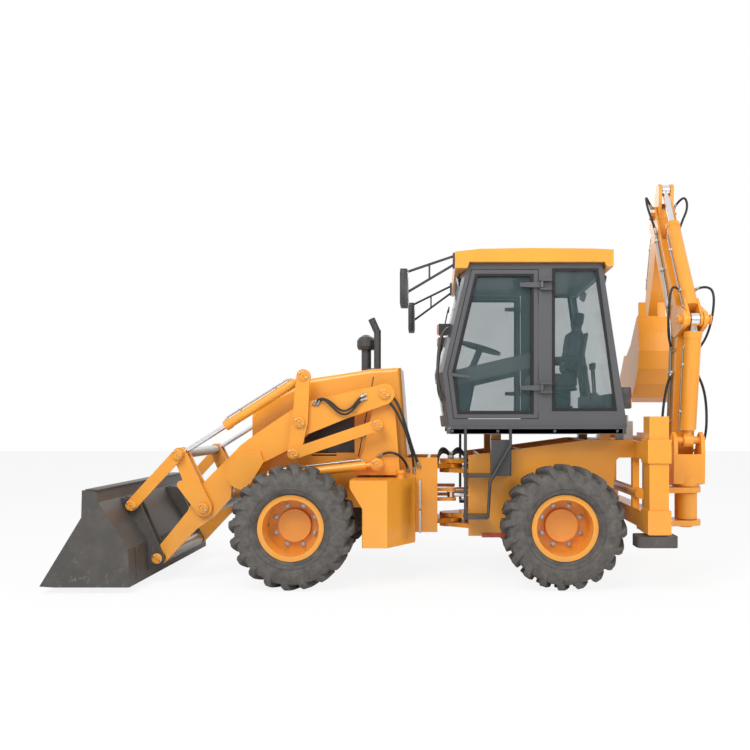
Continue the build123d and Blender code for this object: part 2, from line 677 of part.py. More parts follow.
with BuildPart() as cab_glass:
    cab_solid(glass_inset)
    cab_solid(glass_inset + glass_wall, mode=Mode.SUBTRACT)
    add(window_cuts(seat_gap), mode=Mode.INTERSECT)
finish("cab_glass", cab_glass)

roof_side = [
    at(-22, 2934), at(-25, 2792), at(-132, 2792), at(-150, cab_top_z + seat_gap), at(-1335, cab_top_z + seat_gap),
    at(-1352, 2805), at(-1412, 2805), at(-1412, 2952), at(-1250, 2960), at(-700, cab_top_z + roof_height), at(-250, 2958),
]
with BuildPart() as cab_roof:
    slab(side, roof_side, -roof_half_width, roof_half_width)
    cab_solid(0, mode=Mode.SUBTRACT)
finish("cab_roof", cab_roof)

for hand, out in (("left", 1), ("right", -1)):
    face_low, face_high = outboard(out, cab_half_width - door_wall, cab_half_width)
    glass_low, glass_high = outboard(out, cab_half_width - 24, cab_half_width - 18)
    brace_low, brace_high = outboard(out, cab_half_width - door_wall, cab_half_width - 30)
    with BuildPart() as door:
        with BuildSketch(side.offset(face_low)) as leaf:
            with BuildLine():
                Polyline(*door_outline, close=True)
            make_face()
            offset(amount=-door_gap, kind=Kind.INTERSECTION)
        extrude(leaf.sketch, amount=door_wall)
        with BuildSketch(side.offset(face_low)) as pane_hole:
            with BuildLine():
                Polyline(*door_outline, close=True)
            make_face()
            offset(amount=-door_gap - door_frame, kind=Kind.INTERSECTION)
        extrude(pane_hole.sketch, amount=door_wall, mode=Mode.SUBTRACT)
        slab(side, [at(6, 1895), at(-12, 1765), at(-745, 1935), at(-745, 2070)], brace_low, brace_high)
        for hinge_z in (2648, 1742):
            pad = outboard(out, cab_half_width - 1, cab_half_width + 12)
            strap = outboard(out, cab_half_width + 12, cab_half_width + 26)
            slab(side, [(hinge_x + 36, hinge_z - 25), (hinge_x + 75, hinge_z - 25), (hinge_x + 75, hinge_z + 25),
                        (hinge_x + 36, hinge_z + 25)], *pad)
            slab(side, [(hinge_x, hinge_z - 25), (hinge_x + 190, hinge_z - 18), (hinge_x + 190, hinge_z + 18),
                        (hinge_x, hinge_z + 25)], *strap)
            rod((hinge_x, out * hinge_y, hinge_z - 25), (hinge_x, out * hinge_y, hinge_z + 25), 16)
            rod((hinge_x, out * hinge_y, hinge_z - 30), (hinge_x, out * hinge_y, hinge_z + 30),
                hinge_pin_radius + shaft_gap, mode=Mode.SUBTRACT)
        grip_low, grip_high = outboard(out, cab_half_width - 1, cab_half_width + 28)
        slab(side, [at(0, 1845), at(0, 1872), at(-30, 1872), at(-30, 1845)], grip_low, grip_high)
        grip_low, grip_high = outboard(out, cab_half_width + 16, cab_half_width + 28)
        slab(side, [at(0, 1845), at(0, 1872), at(-150, 1850), at(-150, 1828)], grip_low, grip_high)
    finish(f"{hand}_door", door)
    with BuildPart() as door_glass:
        with BuildSketch(side.offset(glass_low)) as pane:
            with BuildLine():
                Polyline(*door_outline, close=True)
            make_face()
            offset(amount=-door_gap - door_frame - seat_gap, kind=Kind.INTERSECTION)
        extrude(pane.sketch, amount=glass_high - glass_low)
    finish(f"{hand}_door_glass", door_glass)

inside_z = cab_floor_z + cab_wall + seat_gap
with BuildPart() as operator_seat:
    block((hitch_x - 1220, -240, 1760), (hitch_x - 740, 240, 1900))
    fillet(operator_seat.edges(), 30)
    block((hitch_x - 1180, -150, inside_z), (hitch_x - 880, 150, 1762))
    slab(side, [at(-1100, 1860), at(-1220, 1860), at(-1290, 2330), at(-1190, 2345)], -220, 220)
    for low, high in both(260, 320):
        slab(side, [at(-1230, 2010), at(-820, 2010), at(-820, 2060), at(-1230, 2060)], low, high)
    slab(side, [at(-1230, 2010), at(-1190, 2010), at(-1190, 2060), at(-1230, 2060)], -320, 320)
finish("operator_seat", operator_seat)

wheel_centre = (hitch_x - 285, 0, 2150)
with BuildPart() as cab_controls:
    slab(side, [at(20, inside_z), at(20, 1800), at(-180, 1990), at(-250, 1900), at(-160, inside_z)], -110, 110)
    rod((hitch_x - 160, 0, 1850), wheel_centre, 32)
    with BuildSketch(Plane(origin=wheel_centre, x_dir=(0, 1, 0), z_dir=(-0.3, 0, 1))) as wheel_rim:
        Circle(205)
        Circle(180, mode=Mode.SUBTRACT)
        Rectangle(380, 40)
        Rectangle(40, 380)
    extrude(wheel_rim.sketch, amount=24)
    block((hitch_x - 1425, -330, inside_z), (hitch_x - 1300, 330, 1690))
    for y in (-260, -160, 160, 260):
        rod((hitch_x - 1365, y, 1680), (hitch_x - 1345, y, 1960), 9)
        rod((hitch_x - 1346, y, 1940), (hitch_x - 1342, y, 2000), 22)
finish("cab_controls", cab_controls)

step_x = (hitch_x - 115, hitch_x - 510, hitch_x - 330, hitch_x - 312)
with BuildPart() as steps_and_box:
    for out in (1, -1):
        y = out * (800 + 15 + seat_gap)
        rod((step_x[0], y, 600), (step_x[0], y, 1385), 14)
        rod((step_x[3], y, 600), (step_x[2], y, 915), 14)
        rod((step_x[2], y, 915), (step_x[1], y, 1235), 14)
        rod((step_x[1], y, 1235), (step_x[1], y, 1385), 14)
        for centre in ((step_x[2], y, 915), (step_x[1], y, 1235)):
            with Locations(centre):
                Sphere(14)
        for tread_z, back_x in ((600, step_x[3]), (965, step_x[2] - 20)):
            low, high = sorted((out * (fender_y + seat_gap), y))
            block((back_x, low, tread_z - 12), (step_x[0] + 14, high, tread_z + 18))
    block((hitch_x - 524, fender_y + seat_gap, 965), (hitch_x - 345, 780, 1283))
    fillet(steps_and_box.edges().filter_by(Axis.Z).filter_by(lambda e: e.length > 300 and e.center().Y > 700 and e.center().X < hitch_x - 340), 25)
finish("steps_and_box", steps_and_box)

with BuildPart() as mirrors:
    for out in (1, -1):
        low, high = sorted((out * 740, out * 825))
        block((hitch_x - 22 + seat_gap, low, 2800), (hitch_x - 4, high, 2925))
        for start_z, end_z in ((2900, 2720), (2825, 2540)):
            rod((hitch_x - 14, out * 800, start_z), (hitch_x + 410, out * 985, end_z), 11)
        rod((hitch_x + 200, out * 893, 2815), (hitch_x + 200, out * 893, 2681), 8)
        rod((hitch_x + 410, out * 985, 2470), (hitch_x + 410, out * 985, 2735), 12)
        low, high = sorted((out * 900, out * 1090))
        block((hitch_x + 385, low, 2426), (hitch_x + 445, high, 2737))
        low, high = sorted((out * 560, out * 640))
        block((hitch_x - 60, low, 2225), (hitch_x + 120, high, 2325))
        low, high = sorted((out * 690, out * 770))
        block((hitch_x - 1575, low, 1560), (hitch_x - 1400, high, 1750))
    cab_solid(0, mode=Mode.SUBTRACT)
finish("mirrors", mirrors)


# --- stabilisers and slide frame --------------------------------------------
beam_back_x = beam_front_x - beam_depth
post_half = (post_size[0] / 2, post_size[1] / 2)
collar_half = (post_half[0] + collar_wall, post_half[1] + collar_wall)
leg_half = (post_half[0] - post_wall - leg_gap, post_half[1] - post_wall - leg_gap)
with BuildPart() as slide_frame:
    for z_low, z_high in beam_levels:
        block((beam_back_x, -leg_y, z_low), (beam_front_x, leg_y, z_high))
    for y in (leg_y, -leg_y):
        block((leg_x - post_half[0], y - post_half[1], post_bottom_z), (leg_x + post_half[0], y + post_half[1], post_top_z))
        for z_low, z_high in beam_levels:
            block((leg_x - collar_half[0], y - collar_half[1], z_low - 25), (leg_x + collar_half[0], y + collar_half[1], z_high + 25))
        block((leg_x - leg_half[0] - leg_gap, y - leg_half[1] - leg_gap, post_bottom_z - 100),
              (leg_x + leg_half[0] + leg_gap, y + leg_half[1] + leg_gap, post_top_z - post_wall), mode=Mode.SUBTRACT)
    top, bottom = beam_levels[0][1], beam_levels[1][0]
    rail_reach = leg_y - collar_half[1]
    block((beam_back_x, -rail_reach, top - 1), (beam_back_x + guide_wall, rail_reach, top + guide_height))
    block((beam_back_x, -rail_reach, bottom - guide_height), (beam_back_x + guide_wall, rail_reach, bottom + 1))
    for low, high in both(500, 560):
        block((beam_front_x - 60, low, 640), (beam_front_x, high, 1150))
    rod((beam_front_x - 33, -720, 807), (beam_front_x - 33, 720, 807), 48)
finish("slide_frame", slide_frame)

for name, y in (("left_stabiliser", leg_y), ("right_stabiliser", -leg_y)):
    pad_top_z = post_bottom_z - moving_gap
    with BuildPart() as stabiliser:
        block((leg_x - leg_half[0], y - leg_half[1], pad_top_z - 1), (leg_x + leg_half[0], y + leg_half[1], post_top_z - 140))
        block((leg_x - leg_half[0] + leg_wall, y - leg_half[1] + leg_wall, pad_top_z + 20),
              (leg_x + leg_half[0] - leg_wall, y + leg_half[1] - leg_wall, post_top_z), mode=Mode.SUBTRACT)
        with BuildSketch(Plane.XY.offset(pad_top_z - pad_height)) as pad:
            with Locations((leg_x + pad_shift, y)):
                RectangleRounded(pad_size[0], pad_size[1], 45)
        extrude(pad.sketch, amount=pad_height)
    finish(name, stabiliser)

with BuildPart() as valve_block:
    block((hitch_x - 1640, 230, deck_z), (hitch_x - 1555, 580, deck_z + 170))
    for y in range(265, 560, 48):
        rod((hitch_x - 1590, y, deck_z + 165), (hitch_x - 1590, y, deck_z + 225), 14)
finish("valve_block", valve_block)


# --- backhoe ----------------------------------------------------------------
slide_face_x = beam_back_x - moving_gap
carriage_half = 175.0
king_levels = (500.0, 800.0)
king_plate = 50.0
king_radius = 60.0
with BuildPart() as carriage:
    top, bottom = beam_levels[0][1] + guide_height, beam_levels[1][0] - guide_height
    hook_x = beam_back_x + guide_wall + moving_gap
    y_low, y_high = post_y - carriage_half, post_y + carriage_half
    block((slide_face_x - 40, y_low, bottom - moving_gap - 34), (slide_face_x, y_high, top + seat_gap + 34))
    block((slide_face_x - 40, y_low, top + seat_gap), (hook_x + 20, y_high, top + seat_gap + 34))
    block((hook_x, y_low, beam_levels[0][1] + moving_gap), (hook_x + 20, y_high, top + seat_gap + 34))
    block((slide_face_x - 40, y_low, bottom - moving_gap - 34), (hook_x + 20, y_high, bottom - moving_gap))
    block((hook_x, y_low, bottom - moving_gap - 34), (hook_x + 20, y_high, beam_levels[1][0] - moving_gap))
    for level in king_levels:
        with BuildSketch(Plane.XY.offset(level)) as lug:
            with BuildLine():
                Polyline((slide_face_x - 20, y_low), (slide_face_x - 20, y_high), (post_x, post_y + 130),
                         (post_x, post_y - 130), close=True)
            make_face()
            with Locations((post_x, post_y)):
                Circle(130)
                Circle(king_radius + shaft_gap, mode=Mode.SUBTRACT)
        extrude(lug.sketch, amount=king_plate)
    for y in (post_y - 150, post_y + 120):
        block((slide_face_x - 150, y, king_levels[0]), (slide_face_x - 20, y + 30, king_levels[1]))
finish("carriage", carriage)

boom_foot = Vector(210, 1000)
boom_ram_base = Vector(-40, 1275)
clevis = Vector(-235, 2355)
dipper_pivot = Vector(760, 3525)
dipper_tail = Vector(685, 3765)
scoop_pivot = Vector(1335, 2100)
crank_length = 260.0
crank_swing = 62.0
boom_pin_radius = 35.0
boom_foot_half = 100.0
head_wall = 35.0

with BuildPart() as kingpost:
    lower, upper = king_levels
    rod((post_x, post_y, lower + king_plate + moving_gap), (post_x, post_y, upper - moving_gap), 100)
    rod((post_x, post_y, lower - 20), (post_x, post_y, upper + king_plate + 40), king_radius)
    rod((post_x, post_y, upper + king_plate + moving_gap), (post_x, post_y, 940), 120)
    head = [(-110, 880), (60, 858), (260, 905), (290, 1000), (240, 1080), (150, 1090), (70, 1180), (30, 1300),
            (-40, 1350), (-110, 1300), (-120, 1150)]
    for low, high in both(boom_foot_half + moving_gap, boom_foot_half + moving_gap + head_wall):
        slab(across, head, low, high)
    reach = boom_foot_half + moving_gap + 5
    slab(across, [(-110, 880), (60, 858), (90, 900), (60, 940), (-60, 1140), (-120, 1150)], -reach, reach)
    reach = boom_foot_half + moving_gap + head_wall + 12
    for centre in (boom_foot, boom_ram_base):
        disc(across, centre, boom_pin_radius, -reach, reach)
finish("kingpost", kingpost)

boom_side = [(125, 990), (300, 1010), (165, 2290), (600, 3010), (845, 3440), (850, 3590), (700, 3600), (540, 3320),
             (-60, 2480), (-75, 2250)]
clevis_half = 108.0
clevis_wall = 36.0
dipper_half = 75.0
fork_wall = 22.0
with BuildPart() as boom:
    slab(across, boom_side, -boom_foot_half, boom_foot_half)
    disc(across, boom_foot, 90, -boom_foot_half, boom_foot_half)
    disc(across, dipper_pivot, 95, -boom_foot_half, boom_foot_half)
    for low, high in both(clevis_half - clevis_wall, clevis_half):
        bar(across, clevis, 75, Vector(-20, 2370), 150, low, high)
    nose = [(470, 3080), (640, 2900), (1000, 3300), (1100, 3900), (500, 3900)]
    slab(across, nose, -dipper_half - moving_gap, dipper_half + moving_gap, mode=Mode.SUBTRACT)
    for low, high in both(44, clevis_half + 30):
        disc(across, clevis, boom_pin_radius, low, high)
    disc(across, dipper_pivot, boom_pin_radius, -boom_foot_half - 15, boom_foot_half + 15)
    disc(across, boom_foot, boom_pin_radius + shaft_gap, -boom_foot_half, boom_foot_half, mode=Mode.SUBTRACT)
finish("boom", boom)

with BuildPart() as boom_barrel:
    ram_barrel(across, boom_ram_base, clevis, (clevis - boom_ram_base).length - 100, 74, 35, boom_pin_radius, -40, 40)
finish("boom_barrel", boom_barrel)
with BuildPart() as boom_rod:
    ram_rod(across, boom_ram_base, clevis, 330, 35, 62, -36, 36)
finish("boom_rod", boom_rod)

upright = (dipper_pivot - scoop_pivot).normalized()
outward = Vector(upright.Y, -upright.X)
lever_pin = scoop_pivot + upright * 280
crank = Vector(crank_length, 0).rotate(Axis.Z, degrees(atan2(outward.Y, outward.X)) - crank_swing)
lever_end = lever_pin + crank
scoop_ear = scoop_pivot + crank
scoop_ram_base = scoop_pivot + upright * 1400 + outward * 150
dipper_side = [
    dipper_pivot - outward * 110 + upright * 40, dipper_pivot + outward * 110 + upright * 40,
    scoop_pivot + upright * 1300 + outward * 85, scoop_pivot + upright * 500 + outward * 62,
    scoop_pivot + outward * 52, scoop_pivot - outward * 52, scoop_pivot + upright * 1000 - outward * 150,
]
with BuildPart() as dipper:
    slab(across, [(p.X, p.Y) for p in dipper_side], -dipper_half, dipper_half)
    disc(across, dipper_pivot, 115, -dipper_half, dipper_half)
    disc(across, scoop_pivot, 52, -dipper_half, dipper_half)
    bar(across, dipper_pivot, 115, dipper_tail, 62, -dipper_half, dipper_half)
    tail_gap = [(dipper_tail + Vector(*corner)) for corner in ((-130, -240), (120, -140), (165, 130), (-130, 130))]
    slab(across, [(p.X, p.Y) for p in tail_gap], -42, 42, mode=Mode.SUBTRACT)
    for low, high in both(48, dipper_half):
        bar(across, scoop_ram_base, 50, scoop_ram_base - outward * 150, 75, low, high)
    disc(across, scoop_ram_base, 56 + moving_gap, -48, 48, mode=Mode.SUBTRACT)
    disc(across, scoop_ram_base, 28, -dipper_half, dipper_half)
    disc(across, dipper_pivot, boom_pin_radius + shaft_gap, -dipper_half, dipper_half, mode=Mode.SUBTRACT)
    disc(across, lever_pin, 28, -dipper_half - moving_gap - plate_wall - 12, dipper_half + moving_gap + plate_wall + 12)
    disc(across, scoop_pivot, 30, -dipper_half - 60, dipper_half + 60)
finish("dipper", dipper)

dipper_ram_length = (dipper_tail - clevis).length
with BuildPart() as dipper_barrel:
    for low, high in both(46, 46 + fork_wall):
        bar(across, clevis, 60, along(clevis, dipper_tail, 190), 50, low, high)
        disc(across, clevis, boom_pin_radius + shaft_gap, low, high, mode=Mode.SUBTRACT)
    rod(spot(across, along(clevis, dipper_tail, 140), 0), spot(across, along(clevis, dipper_tail, 1200), 0), 65)
    rod(spot(across, along(clevis, dipper_tail, 1140), 0), spot(across, along(clevis, dipper_tail, 1195), 0), 70)
    rod(spot(across, along(clevis, dipper_tail, 190), 0), spot(across, along(clevis, dipper_tail, 1201), 0),
        30 + shaft_gap, mode=Mode.SUBTRACT)
finish("dipper_barrel", dipper_barrel)
with BuildPart() as dipper_rod:
    ram_rod(across, clevis, dipper_tail, 1060, 30, 55, -36, 36)
finish("dipper_rod", dipper_rod)

with BuildPart() as bucket_barrel:
    ram_barrel(across, scoop_ram_base, lever_end, 800, 50, 26, 28, -42, 42)
finish("bucket_barrel", bucket_barrel)
with BuildPart() as bucket_rod:
    ram_rod(across, scoop_ram_base, lever_end, 750, 26, 48, -34, 34)
finish("bucket_rod", bucket_rod)

lever_inner = dipper_half + moving_gap
with BuildPart() as bucket_lever:
    for low, high in both(lever_inner, lever_inner + plate_wall):
        bar(across, lever_pin, 48, lever_end, 48, low, high)
        disc(across, lever_pin, 28 + shaft_gap, low, high, mode=Mode.SUBTRACT)
        disc(across, lever_end, 26, low, high + 12 if low > 0 else high)
    for low, high in both(40, lever_inner + 1):
        disc(across, lever_end, 26, low, high)
finish("bucket_lever", bucket_lever)

with BuildPart() as bucket_link:
    for low, high in both(44, lever_inner - moving_gap):
        bar(across, lever_end, 46, scoop_ear, 46, low, high)
        disc(across, lever_end, 26 + shaft_gap, low, high, mode=Mode.SUBTRACT)
        disc(across, scoop_ear, 26 + shaft_gap, low, high, mode=Mode.SUBTRACT)
finish("bucket_link", bucket_link)


def scoop(x, z):
    """Point of the digging bucket, from its pivot."""
    return (scoop_pivot.X + x, scoop_pivot.Y + z)


scoop_half = digging_bucket_width / 2
scoop_outline = [
    scoop(-540, 420), scoop(-590, 250), scoop(-600, 60), scoop(-560, -120), scoop(-460, -270), scoop(-300, -405),
    scoop(-100, -450), scoop(90, -430), scoop(225, -310), scoop(235, -150), scoop(190, -110), scoop(40, 60),
    scoop(-60, 50), scoop(-250, 150), scoop(-500, 400),
]
scoop_inside = [
    scoop(-522, 470), scoop(-570, 245), scoop(-578, 62), scoop(-540, -110), scoop(-447, -250), scoop(-293, -383),
    scoop(-100, -428), scoop(70, -410), scoop(120, -250), scoop(0, -80), scoop(-60, 100), scoop(-250, 250),
    scoop(-480, 520),
]
with BuildPart() as backhoe_bucket:
    slab(across, scoop_outline, -scoop_half, scoop_half)
    slab(across, scoop_inside, 16 - scoop_half, scoop_half - 16, mode=Mode.SUBTRACT)
    yoke_slot = [scoop(-110, 130), scoop(-110, -90), scoop(0, -130), scoop(60, -240), scoop(300, -260), scoop(300, 130)]
    slab(across, yoke_slot, -lever_inner, lever_inner, mode=Mode.SUBTRACT)
    for side_low, side_high in both(lever_inner + 30, scoop_half - 15):
        slab(across, [scoop(-110, 130), scoop(0, -100), scoop(80, -235), scoop(300, -120), scoop(300, 130)],
             side_low, side_high, mode=Mode.SUBTRACT)
    for low, high in both(lever_inner, lever_inner + 30):
        disc(across, scoop_pivot, 60, low, high)
        disc(across, scoop_ear, 48, low, high)
        disc(across, scoop_pivot, 30 + shaft_gap, low - 1, high + 1, mode=Mode.SUBTRACT)
    disc(across, scoop_ear, 26, -lever_inner - 1, lever_inner + 1)
    for shift in (-195, 0, 195):
        slab(across, [scoop(-548, 400), scoop(-528, 560), scoop(-515, 560), scoop(-505, 400)], shift - 38, shift + 38)
finish("backhoe_bucket", backhoe_bucket)
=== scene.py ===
import bpy, json, math
from mathutils import Matrix, Vector


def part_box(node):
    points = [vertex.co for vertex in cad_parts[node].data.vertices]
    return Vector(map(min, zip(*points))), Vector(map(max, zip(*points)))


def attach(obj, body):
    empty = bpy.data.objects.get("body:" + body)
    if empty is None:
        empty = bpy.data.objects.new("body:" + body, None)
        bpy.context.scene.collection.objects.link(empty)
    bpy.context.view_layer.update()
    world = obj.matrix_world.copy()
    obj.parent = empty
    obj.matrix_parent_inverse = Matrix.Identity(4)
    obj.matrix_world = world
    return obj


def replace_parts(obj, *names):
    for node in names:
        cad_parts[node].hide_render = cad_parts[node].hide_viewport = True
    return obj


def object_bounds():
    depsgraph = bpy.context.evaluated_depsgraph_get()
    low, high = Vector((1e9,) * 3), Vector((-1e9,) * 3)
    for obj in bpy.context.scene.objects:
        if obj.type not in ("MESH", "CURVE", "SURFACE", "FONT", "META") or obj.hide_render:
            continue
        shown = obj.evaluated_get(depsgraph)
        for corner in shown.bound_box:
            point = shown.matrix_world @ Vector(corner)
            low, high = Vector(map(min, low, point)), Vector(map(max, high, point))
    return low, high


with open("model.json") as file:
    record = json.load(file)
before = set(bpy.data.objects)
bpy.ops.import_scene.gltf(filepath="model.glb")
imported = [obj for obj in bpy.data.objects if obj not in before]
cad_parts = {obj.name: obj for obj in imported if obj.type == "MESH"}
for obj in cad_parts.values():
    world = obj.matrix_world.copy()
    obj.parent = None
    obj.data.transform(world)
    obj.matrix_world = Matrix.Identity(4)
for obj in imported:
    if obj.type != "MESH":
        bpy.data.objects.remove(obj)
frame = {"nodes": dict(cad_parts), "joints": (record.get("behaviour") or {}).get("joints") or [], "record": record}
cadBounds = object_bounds()
nodes = frame["nodes"]
joints = {joint["name"]: joint for joint in frame["joints"]}
print("backhoe loader: frame loaded")

# ways to work on a mesh by hand

def letGo():
    if bpy.context.object and bpy.context.object.mode != "OBJECT":
        bpy.ops.object.mode_set(mode="OBJECT")
    bpy.ops.object.select_all(action="DESELECT")


def hold(*pieces):
    letGo()
    for piece in pieces:
        piece.select_set(True)
    bpy.context.view_layer.objects.active = pieces[0]
    return pieces[0]


def settle(piece, name=None):
    hold(piece)
    bpy.ops.object.transform_apply(location=True, rotation=True, scale=True)
    if name:
        piece.name = piece.data.name = name
    return piece


def joined(pieces, name):
    pieces = list(pieces)
    hold(*pieces)
    if len(pieces) > 1:
        bpy.ops.object.join()
    return settle(bpy.context.object, name)


def turnedOut(piece):
    hold(piece)
    bpy.ops.object.mode_set(mode="EDIT")
    bpy.ops.mesh.select_all(action="SELECT")
    bpy.ops.mesh.remove_doubles(threshold=0.00005)
    bpy.ops.mesh.normals_make_consistent(inside=False)
    bpy.ops.object.mode_set(mode="OBJECT")
    return piece


def eased(piece, width, segments=2, angle=35):
    hold(piece)
    bevel = piece.modifiers.new("ease", "BEVEL")
    bevel.width, bevel.segments, bevel.limit_method, bevel.angle_limit = width, segments, "ANGLE", math.radians(angle)
    bpy.ops.object.modifier_apply(modifier=bevel.name)
    return piece


def smoothed(piece, angle=35):
    hold(piece)
    bpy.ops.object.shade_smooth_by_angle(angle=math.radians(angle))
    return piece


def block(low, high, ease=0.003, segments=2):
    letGo()
    low, high = Vector(low), Vector(high)
    bpy.ops.mesh.primitive_cube_add(size=1, location=(low + high) / 2, scale=high - low)
    return eased(settle(bpy.context.object), ease, segments)


def turned(start, end, radius, ease=0.002, sides=32, tip=None):
    letGo()
    run = Vector(end) - Vector(start)
    bpy.ops.mesh.primitive_cone_add(vertices=sides, radius1=radius, radius2=radius if tip is None else tip, depth=run.length,
        location=(Vector(start) + Vector(end)) / 2, rotation=run.to_track_quat("Z", "Y").to_euler())
    return eased(settle(bpy.context.object), ease, 2, 50)


def hexHead(point, direction, across=0.024, height=0.014):
    point, direction = Vector(point), Vector(direction).normalized()
    washer = turned(point, point + direction * 0.003, across * 0.72, 0.0008, 20)
    head = turned(point + direction * 0.003, point + direction * height, across * 0.58, 0.0015, 6)
    return [washer, head]


def picked(piece, test, kind="FACE"):
    hold(piece)
    bpy.ops.object.mode_set(mode="EDIT")
    bpy.ops.mesh.select_all(action="DESELECT")
    bpy.ops.mesh.select_mode(type=kind)
    bpy.ops.object.mode_set(mode="OBJECT")
    mesh = piece.data
    items = mesh.polygons if kind == "FACE" else mesh.vertices
    for item in items:
        item.select = test(item)
    bpy.ops.object.mode_set(mode="EDIT")


def inObject():
    bpy.ops.object.mode_set(mode="OBJECT")


def copyOf(piece, matrix, name=None):
    twin = piece.copy()
    twin.data = piece.data.copy()
    bpy.context.collection.objects.link(twin)
    twin.data.transform(matrix)
    if matrix.determinant() < 0:
        twin.data.flip_normals()
    if name:
        twin.name = twin.data.name = name
    return twin


def otherSide(piece, name=None):
    return copyOf(piece, Matrix.Scale(-1, 4, (0, 1, 0)), name)


def bothSides(pieces):
    return [*pieces, *(otherSide(piece) for piece in pieces)]


# a profile drawn as a chain of points, then swept round or across

def chain(points, name="chain"):
    letGo()
    bpy.ops.mesh.primitive_plane_add(size=0.001, location=points[0])
    piece = settle(bpy.context.object, name)
    bpy.ops.object.mode_set(mode="EDIT")
    bpy.ops.mesh.select_mode(type="VERT")
    bpy.ops.mesh.select_all(action="SELECT")
    bpy.ops.mesh.merge(type="CENTER")
    for before, after in zip(points, points[1:]):
        bpy.ops.mesh.extrude_region_move(TRANSFORM_OT_translate={"value": Vector(after) - Vector(before)})
    return piece


def spun(points, centre, axis, steps, name):
    piece = chain(points, name)
    bpy.ops.mesh.select_all(action="SELECT")
    bpy.ops.mesh.spin(steps=steps, angle=math.tau, center=centre, axis=axis)
    inObject()
    return turnedOut(piece)


def plate(points, push, ease=0.002, name="plate"):
    piece = chain(points, name)
    bpy.ops.mesh.select_all(action="SELECT")
    bpy.ops.mesh.edge_face_add()
    bpy.ops.mesh.select_all(action="SELECT")
    bpy.ops.mesh.extrude_region_move(TRANSFORM_OT_translate={"value": Vector(push)})
    inObject()
    return eased(turnedOut(piece), ease)


def tube(points, radius, name, order=3, sides=6):
    curve = bpy.data.curves.new(name, "CURVE")
    curve.dimensions, curve.bevel_depth, curve.bevel_resolution, curve.use_fill_caps = "3D", radius, sides, True
    spline = curve.splines.new("NURBS")
    spline.points.add(len(points) - 1)
    for knot, point in zip(spline.points, points):
        knot.co = (*point, 1)
    spline.order_u, spline.use_endpoint_u, spline.resolution_u = order, True, 8
    piece = bpy.data.objects.new(name, curve)
    bpy.context.collection.objects.link(piece)
    return piece


def asMesh(piece):
    hold(piece)
    bpy.ops.object.convert(target="MESH")
    return bpy.context.object


# sums on sockets, written as sums

class Flow:
    def __init__(self, finish, socket):
        self.finish, self.socket = finish, socket

    def sum(self, operation, first, second):
        return self.finish.add("ShaderNodeMath", {"operation": operation}, {0: first, 1: second})

    def __add__(self, other): return self.sum("ADD", self, other)
    def __radd__(self, other): return self.sum("ADD", other, self)
    def __sub__(self, other): return self.sum("SUBTRACT", self, other)
    def __rsub__(self, other): return self.sum("SUBTRACT", other, self)
    def __mul__(self, other): return self.sum("MULTIPLY", self, other)
    def __rmul__(self, other): return self.sum("MULTIPLY", other, self)
    def __gt__(self, other): return self.sum("GREATER_THAN", self, other)
    def __pow__(self, other): return self.sum("POWER", self, other)


class Finish:
    def __init__(self, name):
        self.material = bpy.data.materials.new(name)
        self.material.use_nodes = True
        self.tree = self.material.node_tree
        self.shader = self.tree.nodes["Principled BSDF"]

    def add(self, kind, settings=None, sockets=None, out=0):
        node = self.tree.nodes.new(kind)
        for key, value in (settings or {}).items():
            if key == "stops":
                ramp = node.color_ramp
                while len(ramp.elements) < len(value):
                    ramp.elements.new(0.5)
                for element, (place, level) in zip(ramp.elements, value):
                    element.position, element.color = place, (level, level, level, 1)
            else:
                setattr(node, key, value)
        for key, value in (sockets or {}).items():
            self.put(node.inputs[key], value)
        return Flow(self, node.outputs[out])

    def put(self, socket, value):
        if isinstance(value, Flow):
            self.tree.links.new(value.socket, socket)
        elif isinstance(value, (tuple, list)) and len(value) == 3 and socket.type == "RGBA":
            socket.default_value = (*value, 1)
        else:
            socket.default_value = value

    def set(self, **values):
        for key, value in values.items():
            self.put(self.shader.inputs[key.replace("_", " ")], value)
        return self

    def place(self):
        return self.add("ShaderNodeTexCoord", out=3)

    def height(self):
        return self.add("ShaderNodeSeparateXYZ", {}, {0: self.place()}, 2)

    def noise(self, scale, detail=4, rough=0.55, stretch=None):
        where = self.place()
        if stretch:
            where = self.add("ShaderNodeMapping", {}, {"Vector": where, "Scale": stretch})
        return self.add("ShaderNodeTexNoise", {}, {"Vector": where, "Scale": scale, "Detail": detail, "Roughness": rough})

    def ramp(self, value, *stops):
        return self.add("ShaderNodeValToRGB", {"stops": stops}, {0: value})

    def blendOf(self, factor, first, second):
        return self.add("ShaderNodeMix", {"data_type": "RGBA"}, {0: factor, 6: first, 7: second}, 2)

    def bump(self, height, strength, distance=0.001):
        return self.add("ShaderNodeBump", {}, {"Strength": strength, "Distance": distance, "Height": height})

# finishes

paintLook = {"yellow": (0.84, 0.335, 0.028), "dust": (0.45, 0.33, 0.2), "primer": (0.11, 0.085, 0.06), "dustTop": 0.9, "gloss": 0.3}
darkLook = {"dust": (0.24, 0.2, 0.16), "bright": (0.4, 0.38, 0.36)}
rubberLook = {"black": (0.05, 0.048, 0.046), "dust": (0.17, 0.155, 0.14)}
glassLook = {"tint": (0.045, 0.1, 0.11), "cover": 0.24}


